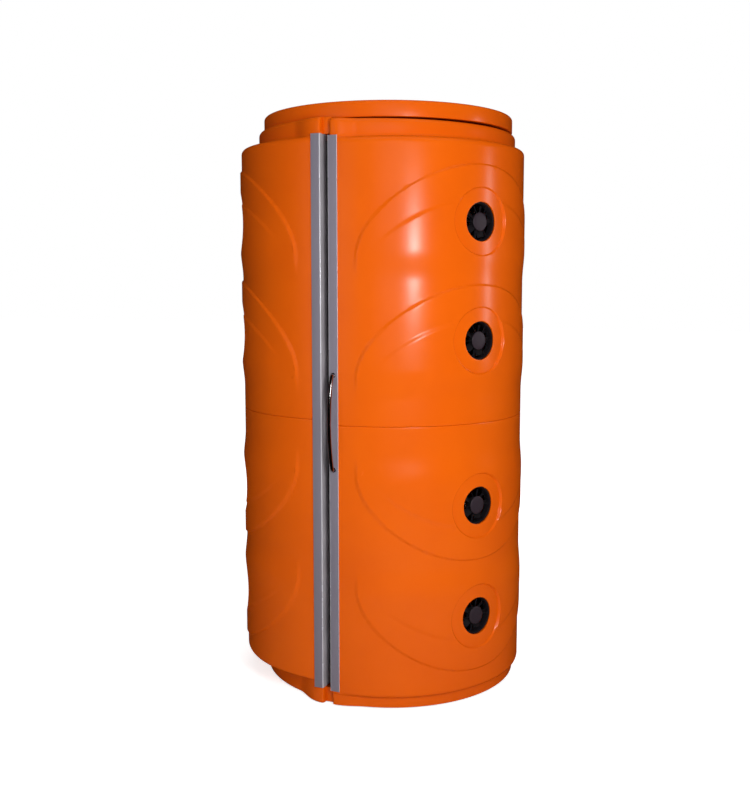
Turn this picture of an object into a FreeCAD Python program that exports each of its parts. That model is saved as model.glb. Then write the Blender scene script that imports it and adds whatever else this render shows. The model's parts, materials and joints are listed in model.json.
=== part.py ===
import FreeCAD, Part
import math
import os

# Vertical tanning booth.
# +Z is up, the floor is z = 0, the cabin's upright axis is x = y = 0 and the entrance seam faces -Y.
# The door is the half on +X. Azimuths are measured from -Y towards +X.

os.makedirs("parts", exist_ok=True)
Vector = FreeCAD.Vector
up = Vector(0, 0, 1)

# ---- driving dimensions, mm -------------------------------------------------------------------------------

wall = 4.0                  # glass-fibre moulding thickness
round_sides = 36            # flats of a hidden round wall
crown_radius = 380.0        # the shoulder stops rising here

# outer skin of each half: an arc set forward of the cabin's axis
skin_radius = 515.0
skin_centre = (42.0, -54.0)
skin_ease_top = 18.0
skin_ease_bottom = 14.0
shoulder_rise = 22.0        # the shoulder slopes up from the skin to the collar

# collar above the skin, an arc flatter than the skin
collar_radius = 547.0
collar_centre = (-44.0, 0.0)
collar_ease = 16.0
collar_hole_radius = 450.0
collar_seat = 10.0          # the collar starts this far above the skin's top

# heights of each half, and the arc of its plinth; the door hangs a little lower than the fixed half
left_half = {
    "plinth_bottom": 4.0, "skin_bottom": 87.0, "joint": 1069.0, "skin_top": 2070.0, "collar_top": 2138.0,
    "upper_vents": [1788.0, 1366.0], "lower_vents": [765.0, 348.0],
    "profile_bottom": 66.0, "profile_top": 2079.0, "plinth_centre": (-44.0, 0.0), "plinth_radius": 532.0}
door_half = {
    "plinth_bottom": 6.0, "skin_bottom": 50.0, "joint": 1051.0, "skin_top": 2063.0, "collar_top": 2131.0,
    "upper_vents": [1777.0, 1352.0], "lower_vents": [745.0, 326.0],
    "profile_bottom": 61.0, "profile_top": 2070.0, "plinth_centre": (42.0, -54.0), "plinth_radius": 494.0}

# rear section
rear_radius = 535.0
rear_centre = (0.0, -45.0)

# front seam
profile_gap = 30.0          # open channel between the two edge profiles
profile_wall = 3.0
profile_face = 36.0
profile_return = 60.0
profile_front = -572.5
seam_wall = profile_gap / 2 + profile_wall   # outer face of each moulding's seam wall
border_sunk = 4.0           # the upright border beside the seam lies this far behind the skin
border_width = 44.0
border_slope = 30.0         # its side slopes back over this width
border_root = -520.0
lip_depth = 24.0            # the left half's lip behind the seam, above and below the profiles
lip_thickness = 4.0
lip_play = 0.8

# door hinge: upright axis just outside the rear corner of the door
hinge_azimuth = math.radians(123.0)
hinge_distance = 524.0
hinge_gap = 5.5             # from the hinge's centre plane to the mouldings on each side
fixed_gap = 0.4             # the same on the left, where nothing opens
hinge_heights = [330.0, 1120.0, 1870.0]
knuckle_radius = 7.5
pin_radius = 4.0
pin_clearance = 0.08
knuckle_length = 40.0
knuckle_play = 0.5
leaf_thickness = 2.5
leaf_width = 50.0
leaf_start = 9.0

# lamp ring around the cabin
ring_centre = (0.0, -25.0)
cabin_radius = 372.0
rail_inner = 374.0
rail_outer = 408.0
lamp_circle = 391.0
lamp_radius = 17.0
lamp_sides = 10
lamp_bottom = 126.0
lamp_top = 2052.0
rail_bottom = 104.0
rail_top = 2088.0
door_lamp_first = 7.5
door_lamp_last = 118.5
door_lamp_count = 13
rear_lamp_first = 131.0
rear_lamp_last = 168.5
rear_lamp_count = 5         # on each side of the console
reflector_valley = 424.0
reflector_ridge = 410.0
reflector_sheet = 1.5

# embossed leaves and cooling fans
vent_azimuth = math.radians(61.3)
leaf_half_width = 415.0
leaf_outer_rise = 204.0     # apex of the outer leaf above its fan
leaf_outer_height = 340.0   # height of its half ellipse
leaf_inner_rise = 82.0
leaf_inner_height = 315.0
leaf_outer_step = 6.0
leaf_inner_step = 9.0
leaf_plateau = 95.0         # the leaf keeps its step this far past the fan
leaf_fade = 210.0           # and has faded into the skin here
pocket_radius = 118.0
vent_radius = 70.0
fan_square = 142.0          # side of the fan's frame
fan_front = -11.0           # its front face, behind the skin's outermost line
fan_depth = 26.0
fan_bore_radius = 64.0
fan_hub_radius = 29.0
fan_hub_wall = 4.0
fan_hub_front = -16.0
fan_hub_depth = 17.0
fan_blade_radius = 57.0
fan_blade_chord = 24.0
fan_blade_pitch = 38.0
fan_blades = 5
fan_stator_radius = 21.0
fan_play = 2.0
guard_thickness = 3.5
guard_hub_radius = 33.0
guard_reach = 68.0
guard_bar = 2.6
guard_spokes = 6

# base, deck and top
pan_radius = 478.0
pan_thickness = 4.0
deck_radius = 366.0         # inside the walls that hold the lamps, so that the door swings clear of it
deck_top = 96.0
deck_ease = 10.0
mat_radius = 352.0
mat_thickness = 4.0
mat_rib = 12.0
mat_rib_pitch = 44.0
cap_radius = 488.0
cap_centre = (10.0, -18.0)
cap_top = 2196.0
cap_ease = 12.0
cap_wall = 5.0
ceiling_bottom = 2092.0
ceiling_radius = 366.0
ceiling_thickness = 4.0
exhaust_radius = 150.0
exhaust_wall = 4.0
exhaust_flange = 16.0       # the upper grille's ring is this much wider than the duct
exhaust_hub_radius = 44.0
exhaust_blades = 7

brim = left_half["collar_top"]      # the cap rests on the fixed half here

far = 900.0                 # reaches past the whole booth
low = -60.0
high = 2300.0


# ---- helpers ----------------------------------------------------------------------------------------------

def disc(centre, radius, bottom, top):
    return Part.makeCylinder(radius, top - bottom, Vector(centre[0], centre[1], bottom))


def box(x0, x1, y0, y1, z0, z1):
    return Part.makeBox(x1 - x0, y1 - y0, z1 - z0, Vector(x0, y0, z0))


def prism(points, bottom, top):
    corners = [Vector(x, y, bottom) for x, y in points]
    face = Part.Face(Part.makePolygon(corners + corners[:1]))
    return face.extrude(Vector(0, 0, top - bottom))


def many_sided(centre, radius, sides, bottom, top):
    """A prism with flats for a small or hidden round bar or bore; radius reaches its corners."""
    corners = []
    for i in range(sides):
        a = 2 * math.pi * (i + 0.5) / sides
        corners.append((centre[0] + radius * math.cos(a), centre[1] + radius * math.sin(a)))
    return prism(corners, bottom, top)


def turned(points, centre=(0.0, 0.0)):
    """A solid of revolution about an upright axis, from (radius, height) points."""
    corners = [Vector(r, 0, z) for r, z in points]
    face = Part.Face(Part.makePolygon(corners + corners[:1]))
    solid = face.revolve(Vector(0, 0, 0), up, 360)
    solid.translate(Vector(centre[0], centre[1], 0))
    return solid


def fused(shapes):
    result = shapes[0]
    if len(shapes) > 1:
        result = result.multiFuse(shapes[1:])
    return result.removeSplitter()


def mirrored(shape):
    """The same piece on the other side of the entrance seam."""
    return shape.mirror(Vector(0, 0, 0), Vector(1, 0, 0))


def around(centre, radius, degrees):
    a = math.radians(degrees)
    return (centre[0] + radius * math.sin(a), centre[1] - radius * math.cos(a))


def save(name, shape):
    solids = shape.Solids
    if len(solids) == 1:
        shape = solids[0]
    else:
        shape = Part.makeCompound(solids)
    if not shape.isValid():
        print("not valid:", name)
    shape.exportStep("parts/" + name + ".step")
    print(name, len(solids), "solid(s)", round(shape.Volume / 1e3), "cm3")


# ---- frames of reference ----------------------------------------------------------------------------------

hinge_out = Vector(math.sin(hinge_azimuth), -math.cos(hinge_azimuth), 0)
hinge_along = Vector(math.cos(hinge_azimuth), math.sin(hinge_azimuth), 0)
hinge_axis = hinge_out * hinge_distance
vent_out = Vector(math.sin(vent_azimuth), -math.cos(vent_azimuth), 0)
vent_along = Vector(math.cos(vent_azimuth), math.sin(vent_azimuth), 0)


def placed(shape, x_axis, y_axis, z_axis, origin):
    matrix = FreeCAD.Matrix(
        x_axis.x, y_axis.x, z_axis.x, origin.x,
        x_axis.y, y_axis.y, z_axis.y, origin.y,
        x_axis.z, y_axis.z, z_axis.z, origin.z,
        0, 0, 0, 1)
    copy = shape.copy()
    copy.Placement = FreeCAD.Placement(matrix).multiply(copy.Placement)
    return copy


def at_hinge(shape, height=0.0):
    """Local X points out of the booth, local Y from the door towards the rear section."""
    return placed(shape, hinge_out, hinge_along, up, hinge_axis + Vector(0, 0, height))


def at_vent(shape, height):
    """Local X runs round the skin, local Y is up and local Z points out of the skin."""
    origin = Vector(skin_centre[0], skin_centre[1], height) + vent_out * skin_radius
    return placed(shape, vent_along, up, vent_out, origin)


def door_sector(seam, gap):
    """Everything between the seam plane x = seam and the hinge plane."""
    near = hinge_axis - hinge_along * gap
    to_seam = (seam - near.x) / hinge_out.x
    inner = near + hinge_out * to_seam
    outer = near + hinge_out * far
    return prism([(seam, -far), (outer.x, -far), (outer.x, outer.y), (inner.x, inner.y)], low, high)


def rear_sector(gap_right, gap_left):
    """Everything behind the hinge plane and its mirror image."""
    right = hinge_axis + hinge_along * gap_right
    left = hinge_axis + hinge_along * gap_left
    slope = hinge_out.y / hinge_out.x
    right_start = right.y - right.x * slope
    left_start = left.y - left.x * slope
    apex = (left_start - right_start) / (2 * slope)
    return prism([(apex, right_start + apex * slope), (far, right_start + far * slope), (far, far),
                  (-far, far), (-far, left_start + far * slope)], low, high)


# ---- mouldings of the two halves --------------------------------------------------------------------------

def eased(corner, size, before, after):
    """Three points that round a corner; before and after are the directions to its neighbours."""
    dip = size * (1 - math.sqrt(0.5))
    start = (corner[0] + size * before[0], corner[1] + size * before[1])
    end = (corner[0] + size * after[0], corner[1] + size * after[1])
    middle = (corner[0] + dip * (before[0] + after[0]), corner[1] + dip * (before[1] + after[1]))
    return [start, middle, end]


def skin_body(half):
    """The bulging body of a half, with eased top and bottom corners and a sloping shoulder."""
    bottom = half["skin_bottom"]
    top = half["skin_top"]
    crown = top + shoulder_rise
    bottom_corner = [(skin_radius - skin_ease_bottom, bottom), (skin_radius, bottom + skin_ease_bottom)]
    top_corner = eased((skin_radius, top), skin_ease_top, (0, -1), (-1, 0))
    outline = [(0, bottom)] + bottom_corner + top_corner + [(crown_radius, crown), (0, crown)]
    return turned(outline, skin_centre)


def collar_body(centre, radius, bottom, top):
    """Round body with an eased top edge."""
    edge = eased((radius, top), collar_ease, (0, -1), (-1, 0))
    return turned([(0, bottom), (radius, bottom)] + edge + [(0, top)], centre)


def collar_hollow(centre, radius, bottom, top):
    """The hidden inside of a collar, in flats, narrower behind the eased edge."""
    inner = radius - wall
    wide = many_sided(centre, inner, round_sides, bottom, top - collar_ease)
    return wide.fuse(many_sided(centre, inner - collar_ease, round_sides, bottom, top - wall))


def seam_border(half):
    """Upright border beside the entrance seam, in line with the skin, on the plinth and on the collar."""
    radius = skin_radius - border_sunk
    front = skin_centre[1] - radius
    edge = seam_wall + border_width
    outline = [(seam_wall, -far), (edge, -far), (edge, front), (edge + border_slope, border_root),
               (seam_wall, border_root)]
    body = collar_body(skin_centre, radius, half["plinth_bottom"], half["collar_top"])
    on_plinth = prism(outline, low, half["skin_bottom"] + wall)
    on_collar = prism(outline, half["skin_top"] - wall, high)
    return body.common(on_plinth.fuse(on_collar))


def half_hollow(half):
    """The hidden inside of a half, in flats that leave the wall at least its own thickness."""
    inside = many_sided(skin_centre, skin_radius - wall, round_sides, half["skin_bottom"] + wall,
                        half["skin_top"] - wall)
    plinth = many_sided(half["plinth_centre"], half["plinth_radius"] - wall, round_sides, low,
                        half["skin_bottom"] + 2 * wall)
    neck = collar_hollow(collar_centre, collar_radius, half["skin_top"] - 2 * wall, half["collar_top"])
    return inside.multiFuse([plinth, neck])


def leaf(vent, rise, height, step, side):
    """An embossed leaf: proud of the skin inside its arch, and fading out beyond its fan. side is 1 or -1."""
    arch_centre = Vector(0, side * (rise - height), 0)
    arch_side = arch_centre + Vector(leaf_half_width, 0, 0)
    arch_apex = arch_centre + Vector(0, side * height, 0)
    arch = Part.Arc(Part.Ellipse(arch_side, arch_apex, arch_centre), 0, math.pi).toShape()
    foot = -side * (leaf_fade + 10)
    right_foot = Vector(leaf_half_width, foot, 0)
    left_foot = Vector(-leaf_half_width, foot, 0)
    right_side = Vector(leaf_half_width, arch_centre.y, 0)
    left_side = Vector(-leaf_half_width, arch_centre.y, 0)
    outline = Part.Wire([arch, Part.LineSegment(left_side, left_foot).toShape(),
                         Part.LineSegment(left_foot, right_foot).toShape(),
                         Part.LineSegment(right_foot, right_side).toShape()])
    stamp = Part.Face(outline).extrude(Vector(0, 0, 300))
    stamp.translate(Vector(0, 0, -280))
    root = skin_radius - wall / 2
    ridge = turned([(root, vent - side * leaf_fade), (skin_radius, vent - side * leaf_fade),
                    (skin_radius + step, vent - side * leaf_plateau),
                    (skin_radius + step, vent + side * (rise + 20)), (root, vent + side * (rise + 20))],
                   skin_centre)
    return ridge.common(at_vent(stamp, vent))


def fan_seat(vent):
    """Square pad behind the skin with a flat back for the fan's frame."""
    half = fan_square / 2 + 4
    pad = Part.makeBox(2 * half, 2 * half, 30, Vector(-half, -half, fan_front))
    return at_vent(pad, vent).common(disc(skin_centre, skin_radius - wall / 2, low, high))


def vents_of(half):
    """Height of every fan with the side on which its leaves rise: 1 upwards, -1 downwards."""
    return [(vent, 1) for vent in half["upper_vents"]] + [(vent, -1) for vent in half["lower_vents"]]


def half_moulding(half, gap):
    """One whole half before it is split: plinth, skin, collar, end walls, leaves and fan openings."""
    inside = door_sector(seam_wall + wall, gap + wall)
    plinth_top = half["skin_bottom"] + wall
    plinth = disc(half["plinth_centre"], half["plinth_radius"], half["plinth_bottom"], plinth_top)
    neck = collar_body(collar_centre, collar_radius, half["skin_top"] - wall, half["collar_top"])
    solid = skin_body(half).multiFuse([plinth, neck]).common(door_sector(seam_wall, gap))
    solid = solid.cut(half_hollow(half).common(inside)).fuse(seam_border(half))
    lid_hole = many_sided((0, 0), collar_hole_radius, round_sides, half["collar_top"] - wall - 1, high)
    solid = solid.cut(lid_hole.common(inside))
    solid = solid.cut(many_sided(ring_centre, cabin_radius, round_sides, low, high))
    additions = []
    pockets = []
    for vent, side in vents_of(half):
        additions.append(leaf(vent, leaf_outer_rise, leaf_outer_height, leaf_outer_step, side))
        additions.append(leaf(vent, leaf_inner_rise, leaf_inner_height, leaf_inner_step, side))
        additions.append(fan_seat(vent))
        pocket = at_vent(disc((0, 0), pocket_radius, -30, 30), vent)
        pockets.append(pocket.cut(disc(skin_centre, skin_radius, low, high)))
        pockets.append(at_vent(disc((0, 0), vent_radius, -40, 40), vent))
    return solid.multiFuse(additions).cut(pockets)


def seam_lips(half):
    """Tongues that close the seam behind its front edge, above and below both profiles."""
    back = skin_centre[1] - skin_radius + lip_depth + lip_thickness
    below = min(left_half["profile_bottom"], door_half["profile_bottom"])
    above = max(left_half["profile_top"], door_half["profile_top"])
    lips = []
    for bottom, top in ((half["plinth_bottom"], below), (above, half["collar_top"])):
        lips.append(box(lip_play - seam_wall, seam_wall + 1, back - lip_thickness, back, bottom + 1, top - 1))
    return lips


def between(solid, bottom, top):
    """The part of a moulding between two heights."""
    return solid.common(box(-far, far, -far, far, bottom, top)).removeSplitter()


def save_half(name, half, solid):
    """The four mouldings of a half, from the floor up; the collar is a wall with a flat lid bonded on."""
    collar_bottom = half["skin_top"] + collar_seat
    lid_bottom = half["collar_top"] - wall
    save(name + "_plinth", between(solid, low, half["skin_bottom"]))
    save(name + "_lower_shell", between(solid, half["skin_bottom"], half["joint"]))
    save(name + "_upper_shell", between(solid, half["joint"], collar_bottom))
    save(name + "_collar", Part.makeCompound([between(solid, collar_bottom, lid_bottom),
                                              between(solid, lid_bottom, high)]))


save_half("door", door_half, half_moulding(door_half, hinge_gap))
save_half("left", left_half, mirrored(half_moulding(left_half, fixed_gap).multiFuse(seam_lips(left_half))))


# ---- rear section -----------------------------------------------------------------------------------------

louvre_width = 300.0
louvre_height = 170.0
louvre_heights = [430.0, 1640.0]    # bottom of each louvre panel
louvre_rows = 6
louvre_slot = 10.0
louvre_margin = 14.0
louvre_sheet = 2.0
louvre_slant = 35.0
louvre_slat = 14.0
louvre_side = louvre_width / 2 + louvre_margin
louvre_seat = rear_centre[1] + math.sqrt(rear_radius ** 2 - louvre_side ** 2) - wall - 2.0
gland_height = 190.0
gland_radius = 13.0
switch_height = 290.0
switch_width = 30.0
switch_tall = 46.0


def rear_shell():
    """Rear covers as one: curved sheet with end walls, a lid under the cap and the openings at the back."""
    solid = collar_body(rear_centre, rear_radius, pan_thickness, brim)
    solid = solid.common(rear_sector(hinge_gap, fixed_gap))
    inside = rear_sector(hinge_gap + wall, fixed_gap + wall)
    solid = solid.cut(collar_hollow(rear_centre, rear_radius, low, brim).common(inside))
    solid = solid.cut(many_sided((0, 0), collar_hole_radius, round_sides, brim - wall - 1, high))
    solid = solid.cut(many_sided(ring_centre, cabin_radius, round_sides, low, high))
    half = louvre_width / 2
    for z in louvre_heights:
        seat = box(-half - louvre_margin, half + louvre_margin, louvre_seat, far, z - louvre_margin,
                   z + louvre_height + louvre_margin)
        solid = solid.fuse(seat.common(disc(rear_centre, rear_radius - wall / 2, low, high)))
        solid = solid.cut(box(-half, half, 300, far, z, z + louvre_height))
    solid = solid.cut(many_sided((0, 0), gland_radius + 0.3, 12, 400, far)
                      .rotated(Vector(0, 0, 0), Vector(1, 0, 0), -90).translated(Vector(0, 0, gland_height)))
    half_width = switch_width / 2 + 0.3
    half_tall = switch_tall / 2 + 0.3
    return solid.cut(box(-half_width, half_width, 400, far, switch_height - half_tall,
                         switch_height + half_tall))


def louvre_panel(z):
    """Flat sheet with slanted slats, behind the opening in the rear cover."""
    half = louvre_width / 2
    sheet = box(-half - louvre_margin, half + louvre_margin, louvre_seat - louvre_sheet, louvre_seat,
                z - louvre_margin, z + louvre_height + louvre_margin)
    pitch = louvre_height / louvre_rows
    slats = []
    for row in range(louvre_rows):
        bottom = z + (row + 0.5) * pitch
        sheet = sheet.cut(box(10 - half, half - 10, louvre_seat - 10, louvre_seat + 10,
                              bottom - louvre_slot / 2, bottom + louvre_slot / 2))
        slat = box(10 - half, half - 10, 0, louvre_slat, -louvre_sheet / 2, louvre_sheet / 2)
        slat.rotate(Vector(0, 0, 0), Vector(1, 0, 0), -louvre_slant)
        slat.translate(Vector(0, louvre_seat - louvre_sheet / 2, bottom + louvre_slot / 2 + 0.5))
        slats.append(slat)
    return fused([sheet] + slats)


rear_covers = rear_shell()
save("rear_upper_cover", between(rear_covers, left_half["joint"], high))
save("rear_lower_cover", between(rear_covers, low, left_half["joint"]))
save("rear_louvres", Part.makeCompound([louvre_panel(z) for z in louvre_heights]))

post_depth = 45.0
post_width = 30.0
post_wall = 2.5
post_outer = -27.0


def rear_post(gap):
    """Square steel tube that stands on the pan behind the end wall of the rear section."""
    start = gap + wall
    outer = box(post_outer - post_depth, post_outer, start, start + post_width, pan_thickness,
                brim - collar_ease)
    inner = box(post_outer - post_depth + post_wall, post_outer - post_wall, start + post_wall,
                start + post_width - post_wall, low, high)
    return at_hinge(outer.cut(inner))


save("rear_posts", Part.makeCompound([rear_post(hinge_gap), mirrored(rear_post(fixed_gap))]))


# ---- front seam: edge profiles, handle, seal and catches --------------------------------------------------

def edge_profile(half):
    """Angle section with a rounded nose: one leg on the seam wall, the other over the skin's edge."""
    x0 = profile_gap / 2
    bottom = half["profile_bottom"]
    top = half["profile_top"]
    return_leg = box(x0, x0 + profile_wall, profile_front, profile_front + profile_return, bottom, top)
    face_leg = box(x0, x0 + profile_face, profile_front, profile_front + profile_wall, bottom, top)
    nose = box(x0, x0 + profile_wall, profile_front, profile_front + profile_wall, bottom, top)
    round_nose = Part.makeCylinder(profile_wall, top - bottom,
                                   Vector(x0 + profile_wall, profile_front + profile_wall, bottom))
    return fused([return_leg.cut(nose), face_leg.cut(nose), round_nose.common(nose)])


save("door_edge_profile", edge_profile(door_half))
save("left_edge_profile", mirrored(edge_profile(left_half)))

handle_low = 890.0
handle_high = 1232.0
handle_radius = 7.0
handle_sides = 8
handle_stub = 12.0
handle_reach = 35.0


def door_handle():
    """A slim bow between two short posts, standing off the door's edge profile."""
    x = profile_gap / 2 + profile_face / 2
    middle = (handle_low + handle_high) / 2
    half = (handle_high - handle_low) / 2
    rise = handle_reach - handle_stub
    bend = (half * half + rise * rise) / (2 * rise)
    spread = math.degrees(math.asin(half / bend))
    corners = []
    for i in range(handle_sides):
        a = 2 * math.pi * (i + 0.5) / handle_sides
        corners.append(Vector(x + handle_radius * math.cos(a), handle_radius * math.sin(a) - bend, 0))
    section = Part.Face(Part.makePolygon(corners + corners[:1]))
    section.rotate(Vector(x, 0, 0), Vector(1, 0, 0), -spread)
    bow = section.revolve(Vector(x, 0, 0), Vector(1, 0, 0), 2 * spread)
    bow.translate(Vector(0, profile_front - handle_reach + bend, middle))
    pieces = [bow]
    for end in (handle_low, handle_high):
        post = many_sided((0, 0), handle_radius, handle_sides, 0.0, handle_stub + handle_radius / 2)
        post = post.fuse(many_sided((0, 0), handle_radius + 3, handle_sides, 0.0, 2.5))
        pieces.append(placed(post, Vector(1, 0, 0), up, Vector(0, -1, 0), Vector(x, profile_front, end)))
    return fused(pieces)


save("door_handle", door_handle())

seal_radius = 3.0
seal_play = 0.6
seal_end = 12.0             # it stops this far short of the profile's ends


def door_seal():
    """Rubber strip on the door's profile that closes the channel against the left profile."""
    x0 = seal_play - profile_gap / 2
    back = profile_front + profile_return - 2
    bottom = door_half["profile_bottom"] + seal_end
    top = door_half["profile_top"] - seal_end
    lip = disc((x0 + seal_radius, back - seal_radius), seal_radius, bottom, top)
    web = box(x0 + seal_radius, profile_gap / 2, back - 2 * seal_radius, back, bottom, top)
    return fused([lip, web])


save("door_seal", door_seal())

catch_heights = [480.0, 1640.0]
catch_tall = 60.0
catch_depth = 22.0
catch_front = -500.0
catch_sheet = 2.0
catch_air = 0.6


def catch_magnet(height):
    return box(-seam_wall, -catch_sheet - catch_air, catch_front, catch_front + catch_depth,
               height - catch_tall / 2, height + catch_tall / 2)


def catch_strike(height):
    """A plate on a stem: the foot lies on the door's seam wall and the plate meets the magnet."""
    z0 = height - catch_tall / 2
    z1 = height + catch_tall / 2
    middle = catch_front + catch_depth / 2
    foot = box(seam_wall - catch_sheet, seam_wall, catch_front - 8, catch_front + catch_depth + 8, z0, z1)
    stem = box(-catch_sheet, seam_wall, middle - catch_sheet, middle + catch_sheet, z0, z1)
    face = box(-catch_sheet, 0, catch_front, catch_front + catch_depth, z0, z1)
    return fused([foot, stem, face])


save("catch_magnets", Part.makeCompound([catch_magnet(height) for height in catch_heights]))
save("catch_strikes", Part.makeCompound([catch_strike(height) for height in catch_heights]))


# ---- door hinges ------------------------------------------------------------------------------------------

knuckle_sides = 8
hinge_total = 3 * knuckle_length + 2 * knuckle_play


def knuckle(start):
    return many_sided((0, 0), knuckle_radius, knuckle_sides, start, start + knuckle_length)


def fixed_bracket(height):
    """Leaf on the rear section, its two knuckles and the pin."""
    side = hinge_gap - leaf_thickness
    pieces = [box(-leaf_width, -leaf_start, side, hinge_gap, -hinge_total / 2, hinge_total / 2)]
    for start in (-hinge_total / 2, knuckle_length / 2 + knuckle_play):
        pieces.append(knuckle(start))
        pieces.append(box(-leaf_start, 0, side, hinge_gap, start, start + knuckle_length))
    pieces.append(Part.makeCylinder(pin_radius, knuckle_length + 2, Vector(0, 0, -knuckle_length / 2 - 1)))
    return at_hinge(fused(pieces), height)


def door_leaf(height):
    """Leaf on the door's end wall and its one knuckle, bored for the pin."""
    side = leaf_thickness - hinge_gap
    plate = box(-leaf_width, -leaf_start, -hinge_gap, side, -hinge_total / 2, hinge_total / 2)
    tongue = box(-leaf_start, 0, -hinge_gap, side, -knuckle_length / 2, knuckle_length / 2)
    bore = Part.makeCylinder(pin_radius + pin_clearance, hinge_total, Vector(0, 0, -hinge_total / 2))
    return at_hinge(fused([plate, tongue, knuckle(-knuckle_length / 2)]).cut(bore), height)


save("hinge_brackets", Part.makeCompound([fixed_bracket(height) for height in hinge_heights]))
save("door_hinge_leaves", Part.makeCompound([door_leaf(height) for height in hinge_heights]))


# ---- lamp ring: rails, lamps and reflectors ---------------------------------------------------------------

def spread_azimuths(first, last, count):
    return [first + (last - first) * i / (count - 1) for i in range(count)]


def lamp(degrees):
    place = around(ring_centre, lamp_circle, degrees)
    return many_sided(place, lamp_radius, lamp_sides, lamp_bottom, lamp_top)


def rails(azimuths, start, end, region):
    """Lower and upper lamp-holder rails, folded between the lamps to follow the cabin."""
    pitch = azimuths[1] - azimuths[0]
    folds = [start] + [degrees + pitch / 2 for degrees in azimuths[:-1]] + [end]
    inner = [around(ring_centre, rail_inner, degrees) for degrees in folds]
    outer = [around(ring_centre, rail_outer, degrees) for degrees in reversed(folds)]
    solids = []
    for bottom, top in ((rail_bottom, lamp_bottom), (lamp_top, rail_top)):
        solids += prism(inner + outer, bottom, top).common(region).Solids
    return Part.makeCompound(solids)


def reflector(azimuths, start, end, region):
    """Folded mirror sheet: a flat behind each lamp and a ridge between two lamps."""
    pitch = azimuths[1] - azimuths[0]
    spots = [(start, reflector_valley)]
    for degrees in azimuths:
        spots.append((degrees - pitch / 2, reflector_ridge))
        spots.append((degrees - pitch / 4, reflector_valley))
        spots.append((degrees + pitch / 4, reflector_valley))
    spots.append((azimuths[-1] + pitch / 2, reflector_ridge))
    spots.append((end, reflector_valley))
    front = [around(ring_centre, radius, degrees) for degrees, radius in spots]
    back = [around(ring_centre, radius + reflector_sheet, degrees) for degrees, radius in reversed(spots)]
    return prism(front + back, rail_bottom, rail_top).common(region)


door_region = door_sector(seam_wall + wall, hinge_gap + wall)
left_region = door_sector(seam_wall + wall, fixed_gap + wall)
half_azimuths = spread_azimuths(door_lamp_first, door_lamp_last, door_lamp_count)
half_lamps = Part.makeCompound([lamp(degrees) for degrees in half_azimuths])
save("door_lamps", half_lamps)
save("left_lamps", mirrored(half_lamps))
save("door_lamp_rails", rails(half_azimuths, 1.0, 128.0, door_region))
save("left_lamp_rails", mirrored(rails(half_azimuths, 1.0, 128.0, left_region)))
save("door_reflector", reflector(half_azimuths, 1.0, 128.0, door_region))
save("left_reflector", mirrored(reflector(half_azimuths, 1.0, 128.0, left_region)))

console_half_width = 52.0
console_front = 366.0
console_back = 396.0
console_sheet = 2.0
console_top = brim + cap_wall    # level with the top of the cap's brim
console_zone = box(-console_half_width, console_half_width, 0, far, low, high)
right_rear = rear_sector(hinge_gap + wall, fixed_gap + wall).cut(console_zone)
left_rear = mirrored(right_rear)
rear_azimuths = spread_azimuths(rear_lamp_first, rear_lamp_last, rear_lamp_count)
right_rear_lamps = Part.makeCompound([lamp(degrees) for degrees in rear_azimuths])


def both_sides(make):
    """The right piece and the mirror image of the left one, which may reach nearer to its end wall."""
    return Part.makeCompound(make(right_rear).Solids + mirrored(make(left_rear)).Solids)


save("rear_lamps", Part.makeCompound([right_rear_lamps, mirrored(right_rear_lamps)]))
save("rear_lamp_rails", both_sides(lambda region: rails(rear_azimuths, 120.0, 178.0, region)))
save("rear_reflector", both_sides(lambda region: reflector(rear_azimuths, 120.0, 176.0, region)))


# ---- console, control panel and buttons -------------------------------------------------------------------

panel_half_width = 44.0
panel_bottom = 1230.0
panel_top = 1400.0
panel_depth = 18.0
display_bottom = 1320.0
display_top = 1372.0
display_half_width = 34.0
display_sunk = 1.5
button_height = 1268.0
button_spread = 20.0
button_side = 19.0
button_ease = 1.5
button_clearance = 0.4
button_proud = 4.0
button_length = 12.0
button_travel = 3.0


def console_column():
    """Folded sheet column between the two rear lamp fields; it stands on the pan and carries the panel."""
    outer = box(-console_half_width, console_half_width, console_front, console_back, pan_thickness,
                console_top)
    inner = box(console_sheet - console_half_width, console_half_width - console_sheet,
                console_front + console_sheet, far, low, high)
    return outer.cut(inner)


def front_edges(shape, y):
    return [edge for edge in shape.Edges if max(abs(edge.BoundBox.YMin - y), abs(edge.BoundBox.YMax - y)) < 0.01]


def control_panel():
    front = console_front - panel_depth
    body = box(-panel_half_width, panel_half_width, front, console_front, panel_bottom, panel_top)
    body = body.makeChamfer(3.0, front_edges(body, front))
    body = body.cut(box(-display_half_width, display_half_width, front - 1, front + display_sunk,
                        display_bottom, display_top))
    half = button_side / 2 + button_clearance
    well_depth = button_length - button_proud + button_travel + 1
    for x in (-button_spread, button_spread):
        body = body.cut(box(x - half, x + half, front - 1, front + well_depth,
                            button_height - half, button_height + half))
    return body


def push_button(x):
    """Square key with eased front edges."""
    front = console_front - panel_depth - button_proud
    half = button_side / 2
    key = box(x - half, x + half, front, front + button_length, button_height - half, button_height + half)
    return key.makeChamfer(button_ease, front_edges(key, front))


save("console_column", console_column())
save("control_panel", control_panel())
save("start_button", push_button(-button_spread))
save("stop_button", push_button(button_spread))


# ---- electrics in the rear section ------------------------------------------------------------------------

rack_y = 430.0
rack_sheet = 2.0
rack_lip = 22.0
rack_half_width = 104.0
ballast_rows = 6
ballast_first = 620.0
ballast_pitch = 160.0
ballast_long = 130.0
ballast_wide = 76.0
ballast_deep = 34.0
ballast_inner = 20.0


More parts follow.
